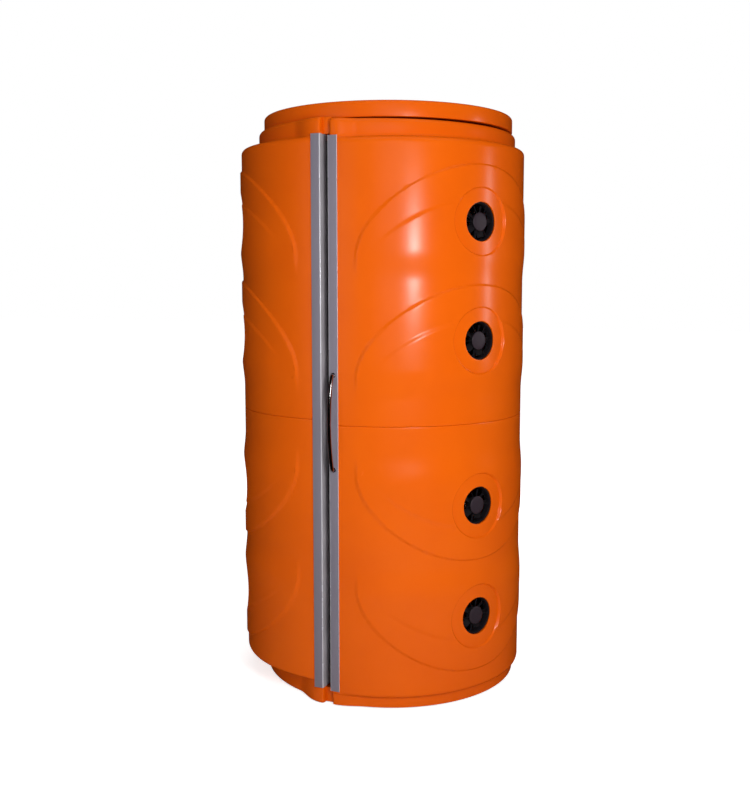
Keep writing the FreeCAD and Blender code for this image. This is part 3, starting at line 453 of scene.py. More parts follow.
hingeOut = Vector((math.sin(hingeAngle), -math.cos(hingeAngle), 0))
leftAcross = Vector((-hingeAcross.x, hingeAcross.y, 0))  # where the fixed half meets the rear section
leftOut = Vector((-hingeOut.x, hingeOut.y, 0))
skinMiddle = Vector((*shell["skinCentre"], 0))
ventOut = Vector((math.sin(emboss["ventAngle"]), -math.cos(emboss["ventAngle"]), 0))
ventAlong = Vector((math.cos(emboss["ventAngle"]), math.sin(emboss["ventAngle"]), 0))


def archDistance(x, y, rise, height):
    # signed distance into the arch, from its rim
    rimCentre = rise - height
    if y < rimCentre:
        return emboss["halfWidth"] - abs(x)
    u = x / emboss["halfWidth"]
    v = (y - rimCentre) / height
    q = math.hypot(u, v)
    slope = math.hypot(u / emboss["halfWidth"], v / height) / max(q, 1e-6)
    return (1 - q) / max(slope, 1e-6)


def leafRelief(x, y):
    fall = 1 - smoothstep(emboss["plateau"], emboss["fade"], -y)
    if fall <= 0 or y > emboss["outerRise"]:
        return 0.0
    width = emboss["edgeWidth"]
    outer = smoothstep(0, width, archDistance(x, y, emboss["outerRise"], emboss["outerHeight"]))
    inner = smoothstep(0, width, archDistance(x, y, emboss["innerRise"], emboss["innerHeight"]))
    inner *= 1 - smoothstep(emboss["innerFadeEnd"], emboss["innerFadeStart"], abs(x))
    pocket = smoothstep(0, emboss["pocketWall"], math.hypot(x, y) - emboss["pocketRadius"])
    return (emboss["outerStep"] * outer + emboss["innerStep"] * inner) * fall * pocket


def skinRelief(angle, z, vents, up):
    x = shell["skinRadius"] * math.sin(angle - emboss["ventAngle"])
    return max(leafRelief(x, up * (z - vent)) for vent in vents)


def snapToRims(angle, z, vents, up):
    # slides a grid point onto the nearest rim line, so that the mesh follows the arches
    x = shell["skinRadius"] * math.sin(angle - emboss["ventAngle"])
    if abs(x) > emboss["halfWidth"] * 0.99:
        return angle, z
    step = 1e-4
    for vent in vents:
        y = up * (z - vent)
        if -y > emboss["fade"]:
            continue
        for rise, height in ((emboss["outerRise"], emboss["outerHeight"]),
                             (emboss["innerRise"], emboss["innerHeight"])):
            for target in (0.0, emboss["edgeWidth"]):
                d = archDistance(x, y, rise, height) - target
                if abs(d) >= shell["rowHeight"] / 2:
                    continue
                gx = archDistance(x + step, y, rise, height) - target - d
                gy = archDistance(x, y + step, rise, height) - target - d
                size = math.hypot(gx, gy)
                if size > 0:
                    x -= d * gx / size
                    y -= d * gy / size
                    return emboss["ventAngle"] + math.asin(x / shell["skinRadius"]), vent + up * y
    return angle, z


def planeAngles(centre, radius, gap):
    # where a circle meets the seam plane and the hinge plane
    start = math.asin((shell["seamPlane"] - centre[0]) / radius)
    reach = (-gap - math.cos(hingeAngle) * centre[0] - math.sin(hingeAngle) * centre[1]) / radius
    return start, hingeAngle + math.asin(reach)


def skinColumns(gap):
    # (angle, inset) from the seam to the hinge; both upright edges are rounded over
    radius = shell["skinRadius"]
    start, end = planeAngles(shell["skinCentre"], radius, gap)
    first = start + shell["seamRound"] / radius
    last = end - shell["hingeRound"] / radius
    count = round((last - first) / shell["columnAngle"])
    columns = [(start + shell["seamRound"] * (1 - cosine) / radius, shell["seamRound"] * (1 - sine))
               for sine, cosine in quarter(5)[:-1]]
    columns += [(first + (last - first) * i / count, 0.0) for i in range(count + 1)]
    columns += [(last + shell["hingeRound"] * sine / radius, shell["hingeRound"] * (1 - cosine))
                for sine, cosine in quarter(3)[1:]]
    return columns


def stepIn(angle, circle):
    # how far the collar or the plinth lies behind the skin; beside the seam both come forward to the border
    radius, centre, fading = circle
    out = Vector((math.sin(angle), -math.cos(angle)))
    away = Vector(shell["skinCentre"]) - Vector(centre)
    reach = math.sqrt(away.dot(out) ** 2 - away.length_squared + radius ** 2) - away.dot(out)
    x = shell["skinCentre"][0] + shell["skinRadius"] * math.sin(angle)
    border = 1 - smoothstep(*fading, x)
    return shell["skinRadius"] - reach - (shell["borderRadius"] - reach) * border


def placeRow(columns, gap, radii, heights):
    # one row of the sheet; its two ends lie in the seam plane and in the hinge plane
    row = []
    for (angle, inset), radius, z in zip(columns, radii, heights):
        r = radius - inset
        row.append(skinMiddle + Vector((r * math.sin(angle), -r * math.cos(angle), z)))
    row[0].x = shell["seamPlane"]
    row[-1] -= hingeAcross * (row[-1].dot(hingeAcross) + gap)
    return row


def levelRow(columns, gap, radii, z):
    return placeRow(columns, gap, radii, [z] * len(columns))


def evenRow(columns, gap, inset, z):
    return levelRow(columns, gap, [shell["skinRadius"] - inset] * len(columns), z)


def reliefRow(columns, gap, z, vents, up):
    placed = []
    radii = []
    heights = []
    for angle, inset in columns:
        place = z
        relief = 0.0
        if inset == 0:
            angle, place = snapToRims(angle, z, vents, up)
            relief = skinRelief(angle, place, vents, up)
        placed.append((angle, inset))
        radii.append(shell["skinRadius"] + relief)
        heights.append(place)
    return placeRow(placed, gap, radii, heights)


def lipRows(columns, gap, z, up):
    # the rounded lip at the joint between the upper and the lower moulding
    lip = shell["jointLip"]
    return [evenRow(columns, gap, lip * (1 - sine), z + up * lip * (1 - cosine))
            for sine, cosine in quarter(4)]


def skinRows(columns, gap, low, high, vents, up):
    count = round((high - low) / shell["rowHeight"])
    return [reliefRow(columns, gap, low + (high - low) * i / count, vents, up) for i in range(count + 1)]


def shoulderHeight(radius, top):
    run = max(shell["skinRadius"] - shell["topRound"] - radius, 0.0)
    return top + shell["shoulderRise"] * run / shell["shoulderReach"]


def setBack(columns, circle, largest):
    # the radius of the ring's wall and the cove beside it, column by column
    steps = [stepIn(angle, circle) for angle, inset in columns]
    walls = [shell["skinRadius"] - step for step in steps]
    coves = [min(largest, shell["coveShare"] * step) for step in steps]
    return walls, coves


def edgeRounds(walls, largest):
    # the skin's edge is rounded less where the wall behind it stands close
    return [min(largest, shell["edgeShare"] * (shell["skinRadius"] - wall)) for wall in walls]


def slopeRadii(walls, coves, edges, share):
    # from the skin's rounded edge (share 0) in to the cove (share 1)
    return [(shell["skinRadius"] - edge) * (1 - share) + (wall + cove) * share
            for wall, cove, edge in zip(walls, coves, edges)]


def shoulderRows(columns, gap, top, neck):
    # over the skin's rounded top edge and up the shoulder to the collar
    walls, coves = setBack(columns, neck, shell["cove"])
    edges = edgeRounds(walls, shell["topRound"])
    rows = []
    for sine, cosine in quarter(6)[1:]:
        radii = [shell["skinRadius"] - edge * (1 - cosine) for edge in edges]
        rows.append(levelRow(columns, gap, radii, top - shell["topRound"] * (1 - sine)))
    for share in shell["shoulderStops"]:
        radii = slopeRadii(walls, coves, edges, share)
        rows.append(placeRow(columns, gap, radii, [shoulderHeight(radius, top) for radius in radii]))
    return rows


def lidRow(columns, start, end, radius, z):
    # a level row round the booth's axis, spread as the columns are
    first = columns[0][0]
    spread = columns[-1][0] - first
    row = []
    for angle, inset in columns:
        a = start + (end - start) * (angle - first) / spread
        row.append(Vector((radius * math.sin(a), -radius * math.cos(a), z)))
    return row


def collarSheet(columns, gap, top, collarTop, neck):
    # cove, wall, rounded top edge and lid
    walls, coves = setBack(columns, neck, shell["cove"])
    feet = [shoulderHeight(wall + cove, top) for wall, cove in zip(walls, coves)]
    rows = []
    for sine, cosine in quarter(6):
        rows.append(placeRow(columns, gap, [wall + cove * (1 - sine) for wall, cove in zip(walls, coves)],
                             [foot + shell["cove"] * (1 - cosine) for foot in feet]))
    high = collarTop - shell["collarRound"]
    for share in (0.5, 1.0):
        rows.append(placeRow(columns, gap, walls,
                             [(foot + shell["cove"]) * (1 - share) + high * share for foot in feet]))
    for sine, cosine in quarter(6)[1:]:
        radii = [wall - shell["collarRound"] * (1 - cosine) for wall in walls]
        rows.append(levelRow(columns, gap, radii, high + shell["collarRound"] * sine))
    for radius in shell["lidRadii"]:
        start, end = planeAngles((0, 0), radius, gap)
        rows.append(lidRow(columns, start, end, radius, collarTop))
    return rows


def undersideRows(columns, gap, bottom, plinth):
    # from the plinth outwards and round the skin's lower edge
    walls, coves = setBack(columns, plinth, shell["footCove"])
    edges = edgeRounds(walls, shell["bottomRound"])
    rows = [levelRow(columns, gap, slopeRadii(walls, coves, edges, share), bottom) for share in (1.0, 0.5)]
    for sine, cosine in quarter(6)[:-1]:
        radii = [shell["skinRadius"] - edge * (1 - sine) for edge in edges]
        rows.append(levelRow(columns, gap, radii, bottom + shell["bottomRound"] * (1 - cosine)))
    return rows


def plinthSheet(columns, gap, low, bottom, plinth):
    # eased foot, wall, and the cove under the skin
    walls, coves = setBack(columns, plinth, shell["footCove"])
    rim = shell["rim"]
    rows = []
    for sine, cosine in quarter(3):
        radii = [wall - rim * (1 - sine) for wall in walls]
        rows.append(levelRow(columns, gap, radii, low + rim * (1 - cosine)))
    rows.append(levelRow(columns, gap, walls, (low + bottom) / 2))
    for sine, cosine in quarter(4):
        radii = [wall + cove * (1 - cosine) for wall, cove in zip(walls, coves)]
        rows.append(levelRow(columns, gap, radii, bottom - shell["footCove"] * (1 - sine)))
    return rows


def onVent(point, vent, up):
    # a point's place beside the vent's middle: along the skin, and away from the joint
    return (point - skinMiddle).dot(ventAlong), up * (point.z - vent)


def cutVents(bm, vents, up):
    # clears a square round each vent and fills it with rings down to the fan
    radius = shell["skinRadius"]
    patch = emboss["patch"]
    opening = emboss["ventRadius"]
    rings = [(size, 0.0) for size in emboss["ringRadii"]]
    rings += [(opening + beyond, depth) for beyond, depth in emboss["lip"]]
    for vent in vents:
        middle = skinMiddle + ventOut * radius + upwards * vent
        inside = []
        for face in bm.faces:
            c = face.calc_center_median()
            x, y = onVent(c, vent, up)
            if abs(x) < patch and abs(y) <= patch and (c - middle).length <= emboss["cutReach"]:
                inside.append(face)
        bmesh.ops.delete(bm, geom=inside, context="FACES")
        ring = [edge for edge in bm.edges
                if edge.is_boundary and (edge.verts[0].co - middle).length < emboss["rimReach"]]
        turns = {}
        for vert in (vert for edge in ring for vert in edge.verts):
            x, y = onVent(vert.co, vent, up)
            turns[vert] = math.atan2(y, x)
        for size, depth in rings:
            ring, turns = extrudeRing(bm, ring, turns)
            for vert, turn in turns.items():
                x = size * math.cos(turn)
                y = size * math.sin(turn)
                angle = emboss["ventAngle"] + math.asin(x / radius)
                r = radius + (leafRelief(x, y) if size > emboss["pocketRadius"] else 0.0) - depth
                vert.co = skinMiddle + Vector((r * math.sin(angle), -r * math.cos(angle), vent + up * y))
        seat = skinMiddle + ventOut * (radius - emboss["seatDepth"])
        for vert, turn in extrudeRing(bm, ring, turns)[1].items():
            z = vent + up * opening * math.sin(turn)
            vert.co = seat + ventAlong * (opening * math.cos(turn)) + upwards * z


def extrudedVerts(bm, edges):
    made = bmesh.ops.extrude_edge_only(bm, edges=edges)["geom"]
    return [item for item in made if isinstance(item, bmesh.types.BMVert)]


def uprightRim(bm, normal, offset):
    # the open edges that run up or down in one upright plane
    rim = []
    for edge in bm.edges:
        ends = [vert.co for vert in edge.verts]
        if edge.is_boundary and abs(ends[0].z - ends[1].z) > sameHeight:
            if all(abs(end.dot(normal) - offset) < onPlane for end in ends):
                rim.append(edge)
    return rim


def endWall(bm, normal, offset, out):
    # a flat wall beside a hinge plane, drawn in from the sheet's end
    for vert in extrudedVerts(bm, uprightRim(bm, normal, offset)):
        vert.co = out * shell["innerReach"] + normal * offset + upwards * vert.co.z


def fanHeights(side):
    return [joints["%s_fan_%d_spin" % (side, i)]["pos_m"][2] for i in range(1, 5)]


def saveSheet(side, part, rows, vents=(), up=1):
    bm = bmesh.new()
    gridOf(bm, rows)
    cutVents(bm, vents, up)
    for vert in extrudedVerts(bm, uprightRim(bm, Vector((1, 0, 0)), shell["seamPlane"])):
        vert.co.y = shell["wallDepth"]
    endWall(bm, hingeAcross, -halves[side]["gap"], hingeOut)
    if side == "left":
        bmesh.ops.scale(bm, vec=(-1, 1, 1), verts=bm.verts)
    merge(bm)
    outward(bm, Vector((0, shell["insideY"], rows[0][0].z)))  # seen from inside the half, all faces look away
    piece = savePiece(bm, side + part, halves[side]["body"])
    addWall(piece, shell["wall"])
    print(side + part, len(piece.data.polygons), "faces")


def makeHalf(side):
    # two skins that meet at the joint, the collar above and the plinth below
    gap = halves[side]["gap"]
    neck = halves[side]["neck"]
    plinth = halves[side]["plinth"]
    plinthLow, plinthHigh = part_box(side + "_plinth")
    upperLow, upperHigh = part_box(side + "_upper_shell")
    bottom = plinthHigh.z
    joint = upperLow.z
    top = upperHigh.z - shell["collarSeat"]
    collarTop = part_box(side + "_collar")[1].z
    upper = [z for z in fanHeights(side) if z > joint]
    lower = [z for z in fanHeights(side) if z < joint]
    columns = skinColumns(gap)
    lip = shell["jointLip"]
    rows = lipRows(columns, gap, joint, 1)[:-1]
    rows += skinRows(columns, gap, joint + lip, top - shell["topRound"], upper, 1)
    rows += shoulderRows(columns, gap, top, neck)
    saveSheet(side, "_upper_shell", rows, upper, 1)
    rows = undersideRows(columns, gap, bottom, plinth)
    rows += skinRows(columns, gap, bottom + shell["bottomRound"], joint - lip, lower, -1)
    rows += list(reversed(lipRows(columns, gap, joint, -1)[:-1]))
    saveSheet(side, "_lower_shell", rows, lower, -1)
    saveSheet(side, "_collar", collarSheet(columns, gap, top, collarTop, neck))
    saveSheet(side, "_plinth", plinthSheet(columns, gap, plinthLow.z, bottom, plinth))


makeHalf("door")
makeHalf("left")

seamLip = {"left": -0.019, "right": 0.0172, "front": -0.545, "back": -0.541, "edge": 0.0012,
           "spans": ((0.005, 0.061), (2.079, 2.137))}


def makeSeamLips():
    bm = bmesh.new()
    for low, high in seamLip["spans"]:
        block(bm, (seamLip["left"], seamLip["front"], low), (seamLip["right"], seamLip["back"], high),
              seamLip["edge"])
    newPiece("left_seam_lips", meshFrom(bm, "left_seam_lips", looks["orange"]), "cabinet", "orange_shell")


makeSeamLips()
print("halves made")


# rear section

rear = {
    "radius": 0.535,
    "centre": (0.0, -0.045),
    "wall": 0.004,
    "topRound": 0.016,
    "bottomRound": 0.002,
    "jointLip": 0.0036,
    "edgeRound": 0.003,
    "columnAngle": math.radians(1.2),
    "louvreHalf": 0.150,
    "louvres": ((0.430, 0.600), (1.640, 1.810)),
    "louvreSeat": 0.45824,
    "switchHalf": 0.0153,
    "switchSpan": (0.2667, 0.3133),
    "backFrom": 0.4,
}


def rearColumns():
    # (angle, inset) from the hinge side round the back; columns stand at the sides of the openings
    radius = rear["radius"]
    flat = math.sin(hingeAngle) * rear["centre"][1]
    right = hingeAngle + math.asin((halves["door"]["gap"] - flat) / radius)
    left = 2 * math.pi - hingeAngle - math.asin((halves["left"]["gap"] - flat) / radius)
    edge = rear["edgeRound"]
    first = right + edge / radius
    last = left - edge / radius
    sides = (rear["louvreHalf"], rear["switchHalf"], -rear["switchHalf"], -rear["louvreHalf"])
    stops = [first] + [math.pi - math.asin(x / radius) for x in sides] + [last]
    columns = [(right + edge * (1 - cosine) / radius, edge * (1 - sine)) for sine, cosine in quarter(3)[:-1]]
    for start, end in zip(stops, stops[1:]):
        count = max(round((end - start) / rear["columnAngle"]), 1)
        columns += [(start + (end - start) * i / count, 0.0) for i in range(count)]
    columns += [(last + edge * sine / radius, edge * (1 - cosine)) for sine, cosine in quarter(3)]
    return columns


def rearRow(columns, inset, z):
    x, y = rear["centre"]
    row = []
    for angle, edge in columns:
        r = rear["radius"] - inset - edge
        row.append(Vector((x + r * math.sin(angle), y - r * math.cos(angle), z)))
    row[0] -= hingeAcross * (row[0].dot(hingeAcross) - halves["door"]["gap"])
    row[-1] -= leftAcross * (row[-1].dot(leftAcross) - halves["left"]["gap"])
    return row


def openingIn(bm, half, span, seat):
    # takes the faces out of an opening and draws its rim in to the flat seat
    inside = []
    for face in bm.faces:
        c = face.calc_center_median()
        if abs(c.x) < half and span[0] < c.z < span[1] and c.y > rear["backFrom"]:
            inside.append(face)
    if not inside:
        return
    bmesh.ops.delete(bm, geom=inside, context="FACES")
    if seat:
        rim = [edge for edge in bm.edges if edge.is_boundary and all(
            abs(vert.co.x) < half + onPlane and span[0] - onPlane < vert.co.z < span[1] + onPlane
            for vert in edge.verts)]
        for vert in extrudedVerts(bm, rim):
            vert.co.y = seat


def makeRear(name, upper):
    low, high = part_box(name)
    columns = rearColumns()
    foot, footSteps = (rear["jointLip"], 4) if upper else (rear["bottomRound"], 3)
    crown, crownSteps = (rear["topRound"], 6) if upper else (rear["jointLip"], 4)
    top = high.z - crown
    stops = sorted([z for span in rear["louvres"] + (rear["switchSpan"],) for z in span if low.z < z < top])
    rows = [rearRow(columns, foot * (1 - sine), low.z + foot * (1 - cosine))
            for sine, cosine in quarter(footSteps)]
    rows += [rearRow(columns, 0.0, z) for z in stops + [top]]
    rows += [rearRow(columns, crown * (1 - cosine), top + crown * sine)
             for sine, cosine in quarter(crownSteps)[1:]]
    if upper:
        for radius in shell["lidRadii"]:
            start = hingeAngle + math.asin(halves["door"]["gap"] / radius)
            end = 2 * math.pi - hingeAngle - math.asin(halves["left"]["gap"] / radius)
            rows.append(lidRow(columns, start, end, radius, high.z))
    bm = bmesh.new()
    gridOf(bm, rows)
    for span in rear["louvres"]:
        openingIn(bm, rear["louvreHalf"], span, rear["louvreSeat"])
    openingIn(bm, rear["switchHalf"], rear["switchSpan"], None)
    endWall(bm, hingeAcross, halves["door"]["gap"], hingeOut)
    endWall(bm, leftAcross, halves["left"]["gap"], leftOut)
    merge(bm)
    outward(bm, Vector((0, 0, 0)))
    addWall(savePiece(bm, name, "cabinet"), rear["wall"])


makeRear("rear_upper_cover", True)
makeRear("rear_lower_cover", False)

louvre = {"margin": 0.014, "rows": 6, "slot": 0.010, "sheet": 0.002, "slat": 0.014, "slant": 35.0,
          "slatInset": 0.010, "slatLift": 0.0005, "ease": 0.0005}


def makeLouvres():
    # in each panel a flat sheet with rows of slots, and a slanting slat over every slot
    bm = bmesh.new()
    side = rear["louvreHalf"] + louvre["margin"]
    slotSide = rear["louvreHalf"] - louvre["slatInset"]
    seat = rear["louvreSeat"]
    half = louvre["sheet"] / 2
    turn = Matrix.Rotation(math.radians(-louvre["slant"]), 4, "X")
    for low, high in rear["louvres"]:
        pitch = (high - low) / louvre["rows"]
        middles = [low + (row + 0.5) * pitch for row in range(louvre["rows"])]
        levels = [low - louvre["margin"]]
        for z in middles:
            levels += [z - louvre["slot"] / 2, z + louvre["slot"] / 2]
        levels.append(high + louvre["margin"])
        xs = (-side, -slotSide, slotSide, side)
        made = gridOf(bm, [[Vector((x, seat, z)) for x in xs] for z in levels])
        faces = facesOf(made)
        slots = [face for face in faces if abs(face.calc_center_median().x) < slotSide
                 and any(abs(face.calc_center_median().z - z) < onPlane for z in middles)]
        bmesh.ops.delete(bm, geom=slots, context="FACES_ONLY")
        sheet = [face for face in faces if face.is_valid]
        bmesh.ops.recalc_face_normals(bm, faces=sheet)
        if sheet[0].normal.y < 0:
            bmesh.ops.reverse_faces(bm, faces=sheet)
        bmesh.ops.solidify(bm, geom=sheet, thickness=louvre["sheet"])
        for z in middles:
            start = len(bm.verts)
            block(bm, (-slotSide, 0, -half), (slotSide, louvre["slat"], half), louvre["ease"])
            root = (0, seat - half, z + louvre["slot"] / 2 + louvre["slatLift"])
            moveAdded(bm, start, Matrix.Translation(root) @ turn)
    savePiece(bm, "rear_louvres", "cabinet")


makeLouvres()
print("rear section made")


# round lid and exhaust grille

cap = {"centre": (0.010, -0.018), "radius": 0.488, "edgeRound": 0.012, "brimRound": 0.0035, "wall": 0.005,
       "steps": 180, "brimRing": 0.4755, "brimHole": 0.452, "topRing": 0.185, "flat": 0.33, "hole": 0.1504}


def makeCap():
    low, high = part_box("top_cap")
    outer = cap["radius"]
    points = [(cap["topRing"], high.z), (cap["flat"], high.z)]
    points += roundCorner((outer, high.z), (-1, 0), (0, -1), cap["edgeRound"], 8)
    points += roundCorner((outer, low.z), (0, 1), (-1, 0), cap["brimRound"], 4)
    points.append((cap["brimRing"], low.z))
    bm = bmesh.new()
    spunProfile(bm, points, cap["steps"], cap["centre"])
    merge(bm)
    middle = Vector((*cap["centre"], 0))
    for z, radius in ((high.z, cap["hole"]), (low.z, cap["brimHole"])):
        ring = [edge for edge in bm.edges if edge.is_boundary and abs(edge.verts[0].co.z - z) < sameHeight]
        turns = {vert: (vert.co - middle) for edge in ring for vert in edge.verts}
        for vert, turn in extrudeRing(bm, ring, turns)[1].items():
            flat = turn.xy.normalized() * radius
            vert.co = (flat.x, flat.y, z)
    outward(bm, Vector((0, 0, 0)))
    addWall(savePiece(bm, "top_cap", "cabinet"), cap["wall"])


makeCap()

exhaust = {"inside": 0.1445, "ringInner": 0.143, "ringOuter": 0.166, "ringInset": 0.001, "ringHigh": 0.004,
           "bars": 5, "bar": 0.004, "barHigh": 0.003, "ease": 0.0008, "steps": 96}


def exhaustBars(bm, bottom):
    inside = exhaust["inside"]
    half = exhaust["bar"] / 2
    for i in range(exhaust["bars"]):
        x = (i - (exhaust["bars"] - 1) / 2) * 2 * inside / (exhaust["bars"] + 1)
        reach = math.sqrt(inside ** 2 - (abs(x) + half) ** 2)
        block(bm, (x - half, -reach, bottom), (x + half, reach, bottom + exhaust["barHigh"]), exhaust["ease"])
    block(bm, (-inside, -half, bottom), (inside, half, bottom + exhaust["barHigh"]), exhaust["ease"])


def makeGrilles():
    # a rounded ring in the lid with bars across it, and the same bars at the lower end of the duct
    low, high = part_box("exhaust_grilles")
    bm = bmesh.new()
    top = high.z
    bottom = top - exhaust["ringHigh"]
    ease = exhaust["ease"]
    inner = exhaust["ringInner"]
    outer = exhaust["ringOuter"] - exhaust["ringInset"]
    points = roundCorner((inner, bottom), (1, 0), (0, 1), ease, 2)
    points += roundCorner((inner, top), (0, -1), (1, 0), ease, 2)
    points += roundCorner((outer, top), (-1, 0), (0, -1), 2 * ease, 4)
    points += roundCorner((outer, bottom), (0, 1), (-1, 0), ease, 2)
    spunProfile(bm, points + [points[0]], exhaust["steps"])
    exhaustBars(bm, bottom)
    exhaustBars(bm, low.z)
    closeUp(bm)
    savePiece(bm, "exhaust_grilles", "cabinet")


makeGrilles()
print("lid made")


# edge profiles at the entrance seam

profile = {"gap": 0.015, "wall": 0.003, "face": 0.036, "front": -0.5725, "depth": 0.060, "nose": 0.003,
           "endRound": 0.0010, "smoothAngle": 40}


def makeProfile(side):
    # an angle with a rounded nose; its leg in the seam takes a paler colour, painted light that lifts the seam's
    # shade, and its nose and outer end take a pale colour as a painted highlight
    name = side + "_edge_profile"
    low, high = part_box(name)
    x = profile["gap"]
    y = profile["front"]
    far = x + profile["face"]
    back = y + profile["depth"]
    wall = profile["wall"]
    end = profile["endRound"]
    points = roundCorner((far, y), (0, 1), (-1, 0), end, 3)
    points += roundCorner((x, y), (1, 0), (0, 1), profile["nose"], 8)
    points += roundCorner((x, back), (0, -1), (1, 0), end, 3)
    points += roundCorner((x + wall, back), (-1, 0), (0, -1), end, 3)
    points += [(x + wall, y + wall)]
    points += roundCorner((far, y + wall), (-1, 0), (0, -1), end, 3)
    bm = bmesh.new()
    section = bm.faces.new([bm.verts.new((px, py, low.z)) for px, py in points])
    made = bmesh.ops.extrude_face_region(bm, geom=[section])["geom"]
    raised = [item for item in made if isinstance(item, bmesh.types.BMVert)]
    bmesh.ops.translate(bm, vec=(0, 0, high.z - low.z), verts=raised)
    if side == "left":
        bmesh.ops.scale(bm, vec=(-1, 1, 1), verts=bm.verts)
    closeUp(bm)
    for face in bm.faces:
        c = face.calc_center_median()
        # faces in the seam take the paler colour, painted light against the seam's shade
        if abs(face.normal.x) > 0.9 and abs(c.x) < x + onPlane:
            face.material_index = 1
        # the nose, and the door profile's outer end, take the pale colour of a painted highlight
        elif abs(c.x) < x + profile["nose"] and c.y < y + profile["nose"] and len(face.verts) == 4:
            face.material_index = 2
        elif abs(c.x) > far - end and len(face.verts) == 4 and side == "door":
            face.material_index = 2
    savePiece(bm, name, halves[side]["body"], "anodised", "seamLegPaintedLight", "paintedHighlightEdge",
              smoothAngle=profile["smoothAngle"])


makeProfile("door")
makeProfile("left")

handle = {"x": 0.033, "low": 0.890, "high": 1.232, "radius": 0.0066, "stub": 0.012, "reach": 0.035,
          "sides": 20, "bowSteps": 28, "turn": 0.012, "stem": 0.003, "flange": 0.0092, "flangeHigh": 0.0026,
          "flangeEase": 0.0008, "flangeSteps": 32}


def makeHandle():
    front = profile["front"]
    half = (handle["high"] - handle["low"]) / 2
    middle = (handle["high"] + handle["low"]) / 2
    rise = handle["reach"] - handle["stub"]
    radius = (half * half + rise * rise) / (2 * rise)
    spread = math.asin(half / radius)
    centre = front - handle["reach"] + radius

    def onBow(angle):
        return Vector((handle["x"], centre - radius * math.cos(angle), middle + radius * math.sin(angle)))

    inner = spread - handle["turn"] / radius
    bow = [onBow(inner * (2 * i / handle["bowSteps"] - 1)) for i in range(handle["bowSteps"] + 1)]
    lowRoot = Vector((handle["x"], front, handle["low"]))
    highRoot = Vector((handle["x"], front, handle["high"]))
    out = Vector((0, -handle["stem"], 0))
    path = [lowRoot] + bend(lowRoot + out, onBow(-spread), bow[0])[:-1] + bow
    path += bend(bow[-1], onBow(spread), highRoot + out)[1:] + [highRoot]
    bm = bmesh.new()
    tube(bm, path, handle["radius"], handle["sides"], Vector((1, 0, 0)))
    flange = bmesh.new()
    points = [(0, 0), (handle["flange"], 0)]
    points += roundCorner((handle["flange"], handle["flangeHigh"]), (0, -1), (-1, 0), handle["flangeEase"], 3)
    points.append((0, handle["flangeHigh"]))
    spunProfile(flange, points, handle["flangeSteps"])
    closeUp(flange)
    forwards = Matrix.Rotation(math.radians(90), 4, "X")
    addCopies(bm, inMesh(flange), [Matrix.Translation(root) @ forwards for root in (lowRoot, highRoot)])
    closeUp(bm)
    savePiece(bm, "door_handle", "door")


makeHandle()
print("seam parts made")


# cooling fans

fan = {
    "square": 0.142, "front": -0.011, "depth": 0.026, "bore": 0.064, "boreEase": 0.002, "corner": 14,
    "chamfer": 0.001, "stator": 0.021, "statorTop": -0.022, "statorSteps": 32,
    "strutAngles": (30, 150, 270), "strutStart": 0.015, "strut": 0.009, "strutHigh": 0.0035,
    "strutEase": 0.0008,
    "hub": 0.029, "hubFront": -0.016, "hubDepth": 0.017, "hubEase": 0.003, "hubWall": 0.004, "hubSteps": 48,
    "tip": 0.057, "blades": 5, "chord": 0.026, "rootPitch": 46.0, "tipPitch": 30.0, "blade": 0.0018,
    "camber": 0.0022,
    "plate": 0.033, "plateHigh": 0.0035, "plateEase": 0.001, "plateDome": (0.0014, 0.0006, 0.0001),
    "plateSteps": 40, "reach": 0.068, "wire": 0.0012, "wireSides": 8, "wireRoot": 0.003, "spokes": 6,
    "sides": 48,
}


def ventPlace(z, left):
    middle = skinMiddle + ventOut * shell["skinRadius"] + upwards * z
    place = turnedPlace(ventAlong, upwards, ventOut, middle)
    return Matrix.Scale(-1, 4, (1, 0, 0)) @ place if left else place


def squareRing(half, z):
    # a ring of points on a square with rounded corners
    power = fan["corner"]
    ring = []
    for i in range(fan["sides"]):
        a = 2 * math.pi * i / fan["sides"]
        r = half * (abs(math.cos(a)) ** power + abs(math.sin(a)) ** power) ** (-1 / power)
        ring.append(Vector((r * math.cos(a), r * math.sin(a), z)))
    return ring


def fanFramePattern():
    # a square frame with a round bore, and the stator on its three struts
    bm = bmesh.new()
    front = fan["front"]
    back = front - fan["depth"]
    half = fan["square"] / 2
    bore = fan["bore"]
    ease = fan["boreEase"]
    chamfer = fan["chamfer"]
    rings = [ringAt(bore, back, fan["sides"])]
    rings += [ringAt(bore + ease * (1 - cosine), front - ease * (1 - sine), fan["sides"])
              for sine, cosine in quarter(3)]
    rings += [squareRing(half - chamfer, front), squareRing(half, front - chamfer), squareRing(half, back)]
    loft(bm, rings + [rings[0]])
    stator = fan["stator"]
    top = fan["statorTop"]
    spunProfile(bm, [(0, top), (stator - chamfer, top), (stator, top - chamfer), (stator, back), (0, back)],
                fan["statorSteps"])
    low = (fan["strutStart"], -fan["strut"] / 2, back)
    high = (bore + chamfer, fan["strut"] / 2, back + fan["strutHigh"])
    for angle in fan["strutAngles"]:
        start = len(bm.verts)
        block(bm, low, high, fan["strutEase"])
        moveAdded(bm, start, Matrix.Rotation(math.radians(angle), 4, "Z"))
    closeUp(bm)
    return inMesh(bm)


